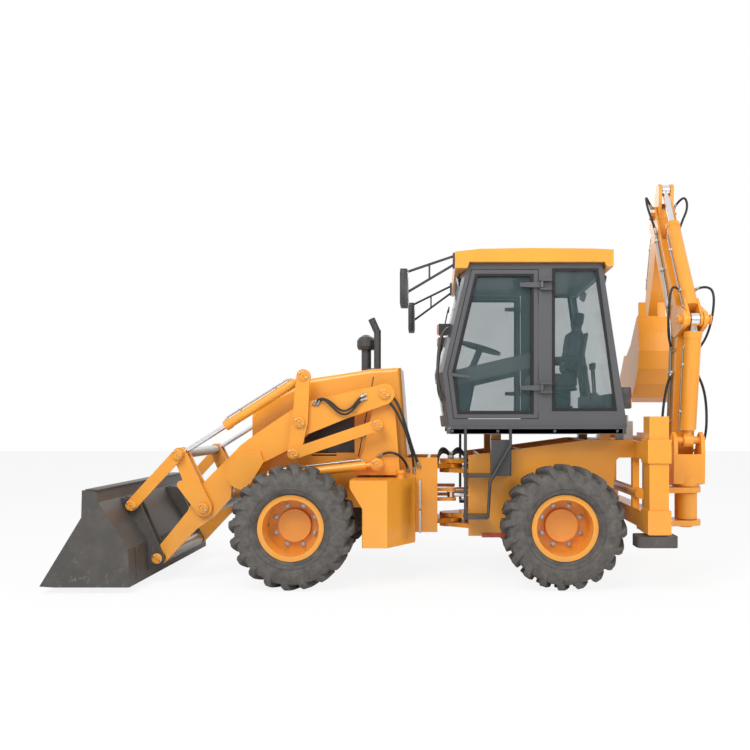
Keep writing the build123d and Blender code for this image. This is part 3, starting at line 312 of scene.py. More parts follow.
def paint(name, colour, gloss=paintLook["gloss"], chips=0.74, dusty=0.35):
    finish = Finish(name)
    broad, fine = finish.noise(1.7, 3), finish.noise(46, 6, 0.65)
    faded = tuple(level * 0.9 for level in colour)
    fresh = tuple(min(1, level * 1.03) for level in colour)
    coat = finish.blendOf(finish.ramp(broad, (0.3, 0), (0.7, 1)), faded, fresh)
    low = finish.ramp(finish.height() * (1 / paintLook["dustTop"]), (0.1, 1), (1, 0.06))
    dust = low * finish.ramp(finish.noise(9, 6, 0.7), (0.4, 0), (0.75, 1)) * dusty
    coat = finish.blendOf(dust, coat, paintLook["dust"])
    chip = finish.ramp(fine, (chips, 0), (chips + 0.015, 1)) * finish.ramp(finish.noise(5, 2), (0.55, 0), (0.62, 1))
    coat = finish.blendOf(chip, coat, paintLook["primer"])
    peel = finish.noise(650, 2) * 0.25 + finish.noise(90, 2)
    return finish.set(Base_Color=coat, Roughness=dust * 0.9 + chip * 0.3 + finish.noise(30, 3) * 0.1 + gloss,
        Coat_Weight=0.25, Coat_Roughness=0.12, Normal=finish.bump(peel, 0.06, 0.002)).material


def wornSteel(name, colour, shine=0.45):
    finish = Finish(name)
    scrape = finish.ramp(finish.noise(20, 8, 0.7, (1, 6, 0.6)), (0.56, 0), (0.63, 1))
    patch = finish.ramp(finish.noise(2.4, 4), (0.45, 0), (0.65, 1))
    low = finish.ramp(finish.height() * (1 / 0.5), (0, 1), (0.9, 0))
    bare = scrape * patch * 0.12 + scrape * low * 0.28
    dust = finish.ramp(finish.noise(6, 6, 0.65), (0.45, 0), (0.8, 0.22))
    body = finish.blendOf(dust, colour, darkLook["dust"])
    body = finish.blendOf(bare, body, darkLook["bright"])
    return finish.set(Base_Color=body, Metallic=bare * 0.7, Roughness=dust * 0.3 + shine - bare * 0.15,
        Normal=finish.bump(finish.noise(60, 5) + scrape * 0.3, 0.12, 0.002)).material


def rubber(name, colour, dusty=1.0):
    finish = Finish(name)
    dust = finish.ramp(finish.noise(14, 6, 0.7), (0.35, 0.15), (0.75, 0.85)) * dusty
    body = finish.blendOf(dust, colour, rubberLook["dust"])
    return finish.set(Base_Color=body, Roughness=dust * 0.15 + 0.72, Specular_IOR_Level=0.3,
        Normal=finish.bump(finish.noise(180, 5) + finish.noise(28, 3) * 0.6, 0.2, 0.002)).material


def brightSteel(name, colour, rough):
    finish = Finish(name)
    streak = finish.noise(30, 5, 0.6, (1, 1, 8))
    body = finish.blendOf(finish.ramp(streak, (0.35, 0), (0.75, 1)), colour, tuple(level * 0.75 for level in colour))
    return finish.set(Base_Color=body, Metallic=1.0, Roughness=streak * 0.16 + rough).material


def glazing(name, colour, cover):
    finish = Finish(name)
    film = finish.ramp(finish.noise(3, 4), (0.4, 0), (0.8, 0.12))
    return finish.set(Base_Color=finish.blendOf(film, colour, (0.5, 0.5, 0.46)), Roughness=film * 0.5 + 0.03,
        Alpha=film * 0.4 + cover, Specular_IOR_Level=0.6).material


def moulded(name, colour, rough=0.5, grain=350):
    finish = Finish(name)
    dust = finish.ramp(finish.noise(8, 5), (0.45, 0), (0.8, 0.3))
    return finish.set(Base_Color=finish.blendOf(dust, colour, (0.2, 0.18, 0.15)), Roughness=dust * 0.3 + rough,
        Normal=finish.bump(finish.noise(grain, 3), 0.12, 0.001)).material


def lampLens(name, colour):
    finish = Finish(name)
    ribs = finish.add("ShaderNodeTexWave", {"bands_direction": "Z"}, {"Vector": finish.place(), "Scale": 60.0})
    return finish.set(Base_Color=finish.blendOf(ribs * 0.35, colour, tuple(level * 0.5 for level in colour)), Roughness=0.12 + ribs * 0.05,
        Coat_Weight=0.6, Normal=finish.bump(ribs, 0.25, 0.001)).material


def seatCloth(name, colour):
    finish = Finish(name)
    across = finish.add("ShaderNodeTexWave", {"bands_direction": "Y"}, {"Vector": finish.place(), "Scale": 160.0})
    along = finish.add("ShaderNodeTexWave", {"bands_direction": "X"}, {"Vector": finish.place(), "Scale": 160.0})
    weave = across * along
    return finish.set(Base_Color=finish.blendOf(weave, colour, tuple(level * 2.2 for level in colour)), Roughness=weave * 0.1 + 0.8,
        Sheen_Weight=0.2, Normal=finish.bump(weave, 0.3, 0.001)).material


look = {
    "yellow_paint": paint("yellowPaint", paintLook["yellow"]),
    "cab_paint": paint("cabGreyPaint", (0.07, 0.07, 0.077), 0.36, 0.78, 0.2),
    "tinted_glass": glazing("tintedGlass", glassLook["tint"], glassLook["cover"]),
    "seat_fabric": seatCloth("seatCloth", (0.03, 0.03, 0.034)),
    "black_plastic": moulded("blackPlastic", (0.02, 0.02, 0.022)),
    "black_paint": paint("blackPaint", (0.035, 0.035, 0.036), 0.42, 0.72, 0.4),
    "bare_steel": brightSteel("bareSteel", (0.45, 0.44, 0.42), 0.32),
    "dark_paint": wornSteel("wornDarkSteel", (0.062, 0.057, 0.052)),
    "chrome": brightSteel("rodChrome", (0.82, 0.82, 0.84), 0.06),
    "tyre_rubber": rubber("tyreRubber", rubberLook["black"]),
}
hoseRubber = rubber("hoseRubber", (0.018, 0.018, 0.019), 0.25)
sealRubber = rubber("sealRubber", (0.012, 0.012, 0.013), 0.1)
amberLens = lampLens("amberLens", (0.9, 0.28, 0.02))
redLens = lampLens("redLens", (0.62, 0.03, 0.02))
clearLens = lampLens("clearLens", (0.75, 0.77, 0.78))
redPaint = paint("redPaint", (0.5, 0.03, 0.02), 0.35, 0.76, 0.5)
mirrorGlass = brightSteel("mirrorGlass", (0.75, 0.78, 0.8), 0.02)

slotOf = {part["node"]: part["material_slot"] for part in frame["record"]["subparts"]}
for name, node in nodes.items():
    for holder in node.material_slots:
        holder.material = look[slotOf[name]]
print("finishes: on", len(nodes), "parts")


def dress(piece, body, slot, finish=None):
    piece.data.materials.clear()
    piece.data.materials.append(finish or look[slot])
    if piece.type == "MESH":
        smoothed(piece)
    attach(piece, body)
    return piece


# camera, floor and light

view = {"stand": (-0.4, 7.9, 1.46), "lens": 38.8, "shift": (-0.083, 0.06)}
bpy.ops.object.camera_add(location=view["stand"], rotation=(math.radians(90), 0, math.radians(180)))
camera = bpy.context.object
camera.data.lens, camera.data.sensor_width = view["lens"], 36
camera.data.shift_x, camera.data.shift_y = view["shift"]
camera.data.clip_end = 200
bpy.context.scene.camera = camera
bpy.context.scene.view_settings.view_transform = "Standard"

studio = {"white": (0.93, 0.93, 0.93), "reach": 60, "sky": 0.42, "key": 640, "fill": 200, "back": 150}


def floorFinish():
    finish = Finish("paleFloor")
    finish.set(Base_Color=finish.blendOf(finish.noise(3, 3) * 0.08, studio["white"], (0.85, 0.85, 0.84)), Roughness=0.9)
    glow = finish.add("ShaderNodeEmission", {}, {"Color": (1, 1, 1, 1), "Strength": 1.0})
    seen = finish.add("ShaderNodeLightPath") * 0.88
    mixed = finish.add("ShaderNodeMixShader", {}, {0: seen, 1: Flow(finish, finish.shader.outputs[0]), 2: glow})
    finish.tree.links.new(mixed.socket, finish.tree.nodes["Material Output"].inputs["Surface"])
    return finish.material


letGo()
bpy.ops.mesh.primitive_plane_add(size=studio["reach"], location=(0, 0, cadBounds[0][2]))
floor = settle(bpy.context.object, "paleFloor")
floor.data.materials.append(floorFinish())

world = bpy.data.worlds.new("studio")
bpy.context.scene.world = world
world.use_nodes = True
sky = world.node_tree
path = sky.nodes.new("ShaderNodeLightPath")
lit, seen, choose = sky.nodes["Background"], sky.nodes.new("ShaderNodeBackground"), sky.nodes.new("ShaderNodeMixShader")
lit.inputs["Color"].default_value, lit.inputs["Strength"].default_value = (0.97, 0.98, 1, 1), studio["sky"]
seen.inputs["Color"].default_value, seen.inputs["Strength"].default_value = (1, 1, 1, 1), 1.0
addUp = [sky.nodes.new("ShaderNodeMath") for _ in range(2)]
for node, first, second in ((addUp[0], path.outputs["Is Camera Ray"], path.outputs["Is Glossy Ray"]),
                            (addUp[1], addUp[0].outputs[0], path.outputs["Is Transmission Ray"])):
    node.operation, node.use_clamp = "ADD", True
    sky.links.new(first, node.inputs[0])
    sky.links.new(second, node.inputs[1])
sky.links.new(addUp[1].outputs[0], choose.inputs[0])
sky.links.new(lit.outputs[0], choose.inputs[1])
sky.links.new(seen.outputs[0], choose.inputs[2])
sky.links.new(choose.outputs[0], sky.nodes["World Output"].inputs["Surface"])
for place, size, power in (((2.5, 6.5, 7.5), 5, studio["key"]), ((-6, 5, 4), 4, studio["fill"]), ((0, -7, 7), 5, studio["back"])):
    bpy.ops.object.light_add(type="AREA", location=place)
    lamp = bpy.context.object
    lamp.data.size, lamp.data.energy = size, power
    lamp.rotation_euler = (Vector((0, 0, 1.2)) - Vector(place)).to_track_quat("-Z", "Y").to_euler()
print("studio: camera, floor and lamps set")

# tyres: a carcass spun from its section, with bars that wrap from the crown down each shoulder

tyreMake = {"barHeight": 0.05, "bars": 20, "barWide": 0.058, "lean": 24, "steps": 96}


def tyreSection():
    return [(-0.142, 0.257), (-0.1425, 0.284), (-0.157, 0.291), (-0.186, 0.312), (-0.2, 0.352), (-0.2045, 0.396), (-0.198, 0.44),
            (-0.18, 0.474), (-0.12, 0.49), (0, 0.496), (0.12, 0.49), (0.18, 0.474), (0.198, 0.44), (0.2045, 0.396), (0.2, 0.352),
            (0.186, 0.312), (0.157, 0.291), (0.1425, 0.284), (0.142, 0.257)]


def makeTyre():
    make = tyreMake
    carcass = spun([(0, y, r) for y, r in tyreSection()], (0, 0, 0), (0, 1, 0), make["steps"], "tyreCarcass")
    ribs = [spun([(0, side * y, r), (0, side * (y + 0.006), r + 0.006), (0, side * y, r + 0.012)], (0, 0, 0), (0, 1, 0), make["steps"], "sideRib")
            for side, y, r in ((1, 0.184, 0.304), (-1, 0.184, 0.304), (1, 0.197, 0.336), (-1, 0.197, 0.336))]
    letGo()
    bpy.ops.mesh.primitive_cube_add(size=1, location=(0, 0.002, 0.5105), scale=(make["barWide"], 0.02, make["barHeight"]))
    bar = settle(bpy.context.object, "treadBar")
    path = [(0.0, 0.05, 0.0), (0.0, 0.05, -0.002), (0.0, 0.048, -0.008), (0.0, 0.024, -0.022), (0.0, 0.008, -0.034), (0.0, 0.003, -0.03)]
    tilts = (0, 3, 14, 36, 24, 6)
    picked(bar, lambda face: face.normal.y > 0.9)
    for step, tilt in zip(path, tilts):
        bpy.ops.mesh.extrude_region_move(TRANSFORM_OT_translate={"value": step})
        if tilt:
            bpy.ops.transform.rotate(value=math.radians(tilt), orient_axis="X", center_override=centreOfPicked(bar))
    bpy.ops.transform.resize(value=(0.82, 0.8, 0.5), center_override=centreOfPicked(bar))
    inObject()
    picked(bar, lambda point: point.co.z > 0.512 and point.co.y < 0.16, "VERT")
    bpy.ops.transform.resize(value=(0.84, 1, 1), center_override=(0, 0.08, 0.52))
    inObject()
    bar.data.transform(Matrix.Rotation(math.radians(make["lean"]), 4, "Z") @ Matrix.Translation((0, 0, 0.0)))
    eased(bar, 0.0045, 2, 40)
    bars = []
    for number in range(make["bars"]):
        spread = math.tau / make["bars"]
        bars.append(copyOf(bar, Matrix.Rotation(number * spread, 4, "Y")))
        bars.append(copyOf(bar, Matrix.Rotation((number + 0.5) * spread, 4, "Y") @ Matrix.Rotation(math.pi, 4, "Z")))
    bpy.data.objects.remove(bar)
    return joined([carcass, *ribs, *bars], "tyre")


def centreOfPicked(piece):
    bpy.ops.object.mode_set(mode="OBJECT")
    spots = [point.co for point in piece.data.vertices if point.select]
    bpy.ops.object.mode_set(mode="EDIT")
    return sum(spots, Vector()) / max(1, len(spots))


wheelMake = {"nuts": 8, "nutRing": 0.185}
wheels = {corner: joints[corner + "_roll"]["pos_m"] for corner in ("front_left", "front_right", "rear_left", "rear_right")}
masterTyre = makeTyre()
for corner, centre in wheels.items():
    turn = Matrix.Rotation(0 if centre[1] > 0 else math.pi, 4, "Z")
    tyre = copyOf(masterTyre, Matrix.Translation(centre) @ turn @ Matrix.Rotation(math.radians(4), 4, "Y"), corner + "_tread_tyre")
    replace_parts(dress(tyre, corner + "_wheel", "tyre_rubber"), corner + "_tyre")
    out = 1 if centre[1] > 0 else -1
    low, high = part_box(corner + "_rim")
    dishY = centre[1] + out * (-0.112 + 0.016)
    nuts = []
    for number in range(wheelMake["nuts"]):
        angle = math.tau * (number + 0.5) / wheelMake["nuts"]
        ring = wheelMake["nutRing"]
        spot = Vector((centre[0] + ring * math.cos(angle), dishY, centre[2] + ring * math.sin(angle)))
        nuts += hexHead(spot, (0, out, 0), 0.032, 0.024)
    valve = turned((centre[0] + 0.232, dishY, centre[2]), (centre[0] + 0.236, dishY + out * 0.05, centre[2]), 0.006, 0.001, 12)
    dress(joined([*nuts, valve], corner + "_wheel_nuts"), corner + "_wheel", "bare_steel")
bpy.data.objects.remove(masterTyre)
print("tyres and wheel nuts: 4 wheels")

# places in the machine's own stations: x forward of the hitch axis, y to the left, z up, all in metres

hitchX = joints["steer"]["pos_m"][0]


def at(x, y, z):
    return Vector((hitchX + x, y, z))


def measured(curve):
    line = curve.copy()
    line.data = curve.data.copy()
    line.data.bevel_depth = 0
    bpy.context.collection.objects.link(line)
    bpy.context.view_layer.update()
    mesh = bpy.data.meshes.new_from_object(line.evaluated_get(bpy.context.evaluated_depsgraph_get()))
    run = sum((mesh.vertices[e.vertices[0]].co - mesh.vertices[e.vertices[1]].co).length for e in mesh.edges)
    bpy.data.objects.remove(line)
    return run


def hose(points, name, body, diameter=0.022):
    line = dress(tube(points, diameter / 2, name), body, "black_plastic", hoseRubber)
    fittings = []
    for start, after in ((points[0], points[1]), (points[-1], points[-2])):
        way = (Vector(after) - Vector(start)).normalized()
        fittings += [turned(Vector(start) - way * 0.006, Vector(start) + way * 0.05, diameter * 0.62, 0.002, 20),
                     turned(Vector(start) - way * 0.012, Vector(start) + way * 0.012, diameter * 0.82, 0.002, 6)]
    crimps = dress(joined(fittings, name + "_crimps"), body, "bare_steel")
    measured(line)
    return line


# caps and greasers on the ends of the loader's pins

capMake = {"wide": 0.047, "thick": 0.009, "bolt": 0.02}
pinEnds = [("arm_pivot", joints["loader_lift"]["pos_m"], 0.632, "front_frame"), ("bar_pivot", joints["bar_level"]["pos_m"], 0.716, "front_frame"),
           ("lift_base", joints["lift_barrel_swing"]["pos_m"], 0.632, "front_frame"), ("lever_pivot", joints["lever_level"]["pos_m"], 0.674, "loader_arms"),
           ("lever_top", joints["tilt_barrel_swing"]["pos_m"], 0.662, "levelling_levers"),
           ("crank_pivot", joints["bellcrank_turn"]["pos_m"], 0.674, "bellcrank_pins"),
           ("crank_top", joints["link_pin_turn"]["pos_m"], 0.716, "link_pins"), ("bucket_pivot", joints["bucket_tilt"]["pos_m"], 0.674, "bucket_pins")]
foot = Vector(joints["lever_level"]["pos_m"]) + Vector(joints["bar_level"]["pos_m"]) - Vector(joints["loader_lift"]["pos_m"])
ear = Vector(joints["bucket_tilt"]["pos_m"]) + Vector(joints["link_pin_turn"]["pos_m"]) - Vector(joints["bellcrank_turn"]["pos_m"])
pinEnds += [("lever_foot", foot, 0.716, "levelling_levers"), ("bucket_ear", ear, 0.716, "loader_bucket")]
for name, spot, reach, body in pinEnds:
    spot = Vector((spot[0], reach, spot[2]))
    out = Vector((0, 1, 0))
    cap = turned(spot, spot + out * capMake["thick"], capMake["wide"], 0.003, 40)
    ring = spun([spot + Vector((0, 0.009, 0.026)), spot + Vector((0, 0.014, 0.029)), spot + Vector((0, 0.009, 0.034))], spot, (0, 1, 0), 40, "ring")
    bolts = [part for turn in (0.6, 3.7)
             for part in hexHead(spot + out * 0.009 + Vector((0.036 * math.cos(turn), 0, 0.036 * math.sin(turn))), out, 0.014, 0.009)]
    greaser = turned(spot + out * 0.009, spot + out * 0.024, 0.007, 0.002, 12, 0.004)
    dress(joined(bothSides([cap, ring]), name + "_pin_caps"), body, "yellow_paint")
    dress(joined(bothSides([*bolts, greaser]), name + "_pin_bolts"), body, "bare_steel")
print("pin caps:", len(pinEnds), "pivots, both sides")

# tank on each side: strap plates with their bolts

hingeStrips = []
for low, high in ((0.475, 0.67), (0.69, 0.93)):
    leaf = block(at(0.272, 0.7, low), at(0.2895, 0.86, high), 0.002)
    hingeStrips += [leaf, *[part for z in (low + 0.04, high - 0.04) for part in hexHead(at(0.272, 0.74, z), (-1, 0, 0), 0.014, 0.008)]]
dress(joined(bothSides(hingeStrips), "tank_strap_plates"), "front_frame", "bare_steel")
print("tanks: strap plates")

# hood: mesh grilles low on its sides, seam strips and latches

hoodMake = {"side": 0.4, "cell": 0.019}


def makeGrille(out):
    face = out * (hoodMake["side"] + 0.002)
    frameStrip = plate([at(0.9, face, 1.16), at(1.36, face, 1.16), at(1.36, face, 1.38), at(1.08, face, 1.5), at(0.9, face, 1.5)], (0, out * 0.005, 0), 0.0015)
    wires = []
    for number in range(24):
        x = 0.905 + number * hoodMake["cell"]
        top = 1.495 if x < 1.08 else 1.5 - (x - 1.08) * 0.43
        wires.append(turned(at(x, face + out * 0.008, 1.165), at(x, face + out * 0.008, top), 0.003, 0.0006, 8))
    for number in range(18):
        z = 1.17 + number * hoodMake["cell"]
        right = 1.355 if z < 1.38 else 1.08 + (1.5 - z) / 0.43
        wires.append(turned(at(0.905, face + out * 0.010, z), at(min(right, 1.355), face + out * 0.010, z), 0.003, 0.0006, 8))
    return joined([frameStrip, *wires], "grille")


grilles = [makeGrille(1)]
dress(joined(bothSides(grilles), "hood_side_grilles"), "front_frame", "black_paint")
seams = []
for start, end in ((at(0.86, 0.402, 1.12), at(0.72, 0.402, 1.86)), (at(1.42, 0.402, 1.1), at(1.5, 0.402, 1.42))):
    way = (end - start)
    seams.append(plate([start, end, end + Vector((0.007, 0, 0)), start + Vector((0.007, 0, 0))], (0, 0.0025, 0), 0.0008))
dress(joined(bothSides(seams), "hood_seam_strips"), "front_frame", "black_plastic", sealRubber)
latches = []
for x, z in ((0.8, 1.3), (0.76, 1.6)):
    latches += [block(at(x, 0.401, z), at(x + 0.05, 0.412, z + 0.03), 0.004),
                turned(at(x + 0.02, 0.41, z + 0.015), at(x + 0.02, 0.418, z + 0.015), 0.01, 0.002, 20)]
dress(joined(bothSides(latches), "hood_latches"), "front_frame", "bare_steel")
print("hood: grilles, seams and latches")

# red warning bar under the rear frame, deck edge under the cab

rail = block(at(-0.62, 0.601, 0.4), at(-0.27, 0.609, 0.438), 0.003)
dress(joined(bothSides([rail]), "rear_frame_red_bars"), "rear_frame", "black_paint", redPaint)
edge = [block(at(-1.50, 0.785, 1.338), at(0.05, 0.8, 1.385), 0.004),
        *[part for x in (-1.45, -0.9, -0.4, 0.0) for part in hexHead(at(x, 0.8, 1.362), (0, 1, 0), 0.018, 0.011)]]
dress(joined(bothSides(edge), "deck_edge_bars"), "rear_frame", "cab_paint")

# cab: glass seals, grab rails, lamps, mirror shells

def seal(points, push, wide, name="seal"):
    piece = chain(points, name)
    bpy.ops.mesh.select_all(action="SELECT")
    bpy.ops.mesh.edge_face_add()
    bpy.ops.mesh.select_mode(type="FACE")
    bpy.ops.mesh.select_all(action="SELECT")
    bpy.ops.mesh.inset(thickness=wide)
    bpy.ops.mesh.delete(type="FACE")
    bpy.ops.mesh.select_all(action="SELECT")
    bpy.ops.mesh.extrude_region_move(TRANSFORM_OT_translate={"value": Vector(push)})
    inObject()
    return eased(turnedOut(piece), 0.0012)


cabMake = {"side": 0.78, "rail": 0.013}
doorPane = [(-0.046, 1.512), (0.001, 1.884), (-0.202, 2.748), (-0.718, 2.748), (-0.718, 1.512)]
quarterPane = [(-0.879, 2.796), (-1.287, 2.796), (-1.452, 1.539), (-0.879, 1.539)]
for side, body in ((1, "left_door"), (-1, "right_door")):
    face = side * cabMake["side"]
    dress(seal([at(x, face, z) for x, z in doorPane], (0, side * 0.004, 0), 0.024), body, "black_plastic", sealRubber).name = body + "_seal"
    dress(seal([at(x, face - side * 0.026, z) for x, z in doorPane], (0, side * 0.003, 0), 0.03),
          body, "black_plastic", sealRubber).name = body + "_glass_border"
quarterSeals = [seal([at(x, 0.78, z) for x, z in quarterPane], (0, 0.004, 0), 0.026)]
dress(joined(bothSides(quarterSeals), "quarter_window_seals"), "rear_frame", "black_plastic", sealRubber)

railPath = [at(0.03, 0.73, 2.28), at(0.1, 0.73, 2.26), at(0.142, 0.73, 1.97), at(0.125, 0.73, 1.66), at(0.03, 0.73, 1.62)]
grabRail = asMesh(tube(railPath, cabMake["rail"], "grabRail", 4, 4))
dress(joined(bothSides([settle(grabRail)]), "cab_grab_rails"), "rear_frame", "black_paint")
lens = block(at(0.121, 0.565, 2.23), at(0.136, 0.635, 2.32), 0.006)
dress(joined(bothSides([lens]), "front_turn_lamps"), "rear_frame", "black_plastic", amberLens)
tail = [block(at(-1.587, 0.695, 1.655), at(-1.576, 0.765, 1.742), 0.004)]
dress(joined(bothSides(tail), "tail_lamp_lenses"), "rear_frame", "black_plastic", redLens)
turn = [block(at(-1.587, 0.695, 1.568), at(-1.576, 0.765, 1.648), 0.004)]
dress(joined(bothSides(turn), "rear_turn_lenses"), "rear_frame", "black_plastic", amberLens)


def workLamp(spot, way):
    spot, way = Vector(spot), Vector(way).normalized()
    shell = turned(spot - way * 0.035, spot + way * 0.02, 0.035, 0.006, 28, 0.05)
    rim = spun([spot + way * 0.018 + Vector((0, 0, 0.046)), spot + way * 0.03 + Vector((0, 0, 0.05)),
               spot + way * 0.018 + Vector((0, 0, 0.054))], spot, way, 28, "rim")
    glass = turned(spot + way * 0.018, spot + way * 0.026, 0.045, 0.003, 28, 0.042)
    foot = block(spot + Vector((-0.012, -0.018, 0.03)), spot + Vector((0.012, 0.018, 0.066)), 0.004)
    return [shell, rim, foot], [glass]


shells, glasses = [], []
for x, way in ((-0.075, 1), (-1.385, -1)):
    for y in (-0.5, 0.5):
        shell, glass = workLamp(at(x, y, 2.726 if way > 0 else 2.738), (way, 0, -0.25))
        shells += shell
        glasses += glass
dress(joined(shells, "work_lamps"), "rear_frame", "black_plastic")
dress(joined(glasses, "work_lamp_glasses"), "rear_frame", "black_plastic", clearLens)

mirrorShell = block(at(0.381, 0.896, 2.422), at(0.449, 1.094, 2.741), 0.03, 5)
mirrorFace = block(at(0.376, 0.915, 2.45), at(0.383, 1.075, 2.714), 0.003, 2)
clamp = [turned(at(0.41, 0.985, z - 0.014), at(0.41, 0.985, z + 0.014), 0.019, 0.003, 20) for z in (2.735, 2.55)]
dress(joined(bothSides([mirrorShell, *clamp]), "mirror_shells"), "rear_frame", "black_plastic")
dress(joined(bothSides([mirrorFace]), "mirror_faces"), "rear_frame", "bare_steel", mirrorGlass)
wiper = [block(at(0.09, -0.03, 1.84), at(0.125, 0.03, 1.9), 0.008),
         asMesh(tube([at(0.112, 0, 1.87), at(0.118, 0.06, 2.0), at(0.075, 0.2, 2.3), at(0.03, 0.28, 2.5)], 0.006, "arm", 3, 4)),
         block(at(0.018, 0.12, 2.49), at(0.030, 0.42, 2.51), 0.004)]
dress(joined(wiper, "windscreen_wiper"), "rear_frame", "black_plastic")
print("cab: seals, rails, lamps, mirrors and wiper")

# operator's seat: two crowned pads, a headrest and moulded arms on a pedestal

seatMake = {"voxel": 0.012, "pressure": 3.0, "cap": 0.014, "frames": 14}


def stuffed(low, high, lean, name):
    letGo()
    low, high = Vector(low), Vector(high)
    bpy.ops.mesh.primitive_cube_add(size=1, location=(low + high) / 2, scale=high - low)
    pad = eased(settle(bpy.context.object, name), 0.03, 4)
    hold(pad)
    pad.data.remesh_voxel_size = seatMake["voxel"]
    bpy.ops.object.voxel_remesh()
    start = [point.co.copy() for point in pad.data.vertices]
    cloth = pad.modifiers.new("fill", "CLOTH")
    cloth.settings.use_pressure, cloth.settings.uniform_pressure_force = True, seatMake["pressure"]
    cloth.settings.effector_weights.gravity = 0
    cloth.settings.tension_stiffness = cloth.settings.compression_stiffness = 12
    for step in range(1, seatMake["frames"] + 1):
        bpy.context.scene.frame_set(step)
    hold(pad)
    bpy.ops.object.modifier_apply(modifier="fill")
    bpy.context.scene.frame_set(1)
    for point, was in zip(pad.data.vertices, start):
        move = point.co - was
        if move.length > seatMake["cap"]:
            point.co = was + move.normalized() * seatMake["cap"]
    middle = (low + high) / 2
    for point in pad.data.vertices:
        across = abs(point.co.y - middle.y) / ((high.y - low.y) / 2)
        groove = math.exp(-((across - 0.62) / 0.045) ** 2) * 0.009
        way = Vector((1, 0, 0)) if lean else Vector((0, 0, 1))
        if (point.co - middle).dot(way) > 0:
            point.co -= way * groove
    if lean:
        pad.data.transform(Matrix.Translation((low.x, middle.y, low.z)) @ Matrix.Rotation(math.radians(-lean), 4, "Y") @
                           Matrix.Translation((-low.x, -middle.y, -low.z)))
    hold(pad)
    smooth = pad.modifiers.new("smooth", "SUBSURF")
    smooth.levels = smooth.render_levels = 1
    bpy.ops.object.modifier_apply(modifier=smooth.name)
    dress(pad, "rear_frame", "seat_fabric")
    return pad


cushion = stuffed(at(-1.21, -0.232, 1.768), at(-0.745, 0.232, 1.892), 0, "seat_cushion")
backPad = stuffed(at(-1.19, -0.21, 1.9), at(-1.085, 0.21, 2.33), 10, "seat_back")
headPad = stuffed(at(-1.27, -0.13, 2.355), at(-1.18, 0.13, 2.49), 10, "seat_headrest")
shell = block(at(-1.235, -0.215, 1.87), at(-1.2, 0.215, 2.3), 0.014, 3)
shell.data.transform(Matrix.Translation(at(-1.2, 0, 1.87)) @ Matrix.Rotation(math.radians(-10), 4, "Y") @ Matrix.Translation(-at(-1.2, 0, 1.87)))
pan = block(at(-1.2, -0.22, 1.74), at(-0.76, 0.22, 1.77), 0.012, 3)
stand = [block(at(-1.17, -0.14, 1.4483), at(-0.89, 0.14, 1.6), 0.012), block(at(-1.15, -0.12, 1.6), at(-0.91, 0.12, 1.74), 0.01)]
folds = [block(at(-1.158, -0.128, 1.61 + n * 0.026), at(-0.902, 0.128, 1.622 + n * 0.026), 0.005) for n in range(5)]
posts = [turned(at(-1.255, side * 0.06, 2.29), at(-1.262, side * 0.06, 2.37), 0.008, 0.002, 16) for side in (-1, 1)]
arms = [part for side in (-1, 1) for part in (block(at(-1.21, side * 0.29 - 0.03, 2.012), at(-0.83, side * 0.29 + 0.03, 2.056), 0.018, 4),
        block(at(-1.215, side * 0.262 - 0.014, 1.86), at(-1.185, side * 0.262 + 0.014, 2.04), 0.008),
        block(at(-1.215, min(side * 0.2, side * 0.26), 1.88), at(-1.19, max(side * 0.2, side * 0.26), 1.93), 0.006))]
frameOfSeat = dress(joined([shell, pan, *stand, *folds, *posts, *arms], "seat_frame"), "rear_frame", "black_plastic")
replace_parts(cushion, "operator_seat")
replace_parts(backPad, "operator_seat")
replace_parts(frameOfSeat, "operator_seat")
print("seat: pads and frame")

# loader bucket: side cutters, edge bolts, back ribs

cutter = plate([at(3.44, 1.111, 0.075), at(3.118, 1.111, 0.61), at(3.03, 1.111, 0.585), at(3.33, 1.111, 0.075)], (0, -0.009, 0), 0.003)
skid = block(at(2.78, 1.103, 0.075), at(3.33, 1.111, 0.12), 0.003)
dress(joined(bothSides([cutter, skid]), "bucket_side_cutters"), "loader_bucket", "dark_paint")
heads = []
for number in range(4):
    spot = at(3.385 - number * 0.088, 1.102, 0.115 + number * 0.148)
    heads += hexHead(spot - Vector((0.04, 0, 0)), (0, -1, 0), 0.026, 0.014)
dress(joined(bothSides(heads), "bucket_cutter_bolts"), "loader_bucket", "bare_steel")
lip = [block(at(2.975, -1.1, 0.86), at(3.095, 1.1, 0.878), 0.005)]
ribs = [block(at(2.712, y - 0.008, 0.12), at(2.727, y + 0.008, 0.37), 0.003) for y in (-0.95, -0.3, 0, 0.3, 0.95)]
dress(joined([*lip, *ribs], "bucket_lip_and_ribs"), "loader_bucket", "dark_paint")
print("loader bucket: cutters, bolts, ribs")

# steel pipes clipped along the cylinders

def pipeAlong(start, end, offset, low, high, radius):
    start, end, offset = Vector(start), Vector(end), Vector(offset)
    way = (end - start).normalized()
    line = asMesh(tube([start + way * low + offset * 0.72, start + way * low + offset,
                        start + way * (low + 0.06) + offset, start + way * (high - 0.06) + offset,
                        start + way * high + offset, start + way * high + offset * 0.72], radius, "pipe", 3, 4))
    clips = [block((-0.012, -0.02, -0.012), (0.012, 0.02, 0.012), 0.003) for _ in range(2)]
    for clip, share in zip(clips, (0.22, 0.78)):
        clip.data.transform(Matrix.Translation(start + way * (low + (high - low) * share) + offset))
    bosses = [turned(start + way * spot + offset * 0.55, start + way * spot + offset * 0.95, radius * 1.9, 0.002, 16) for spot in (low, high)]
    return [line, *clips, *bosses]


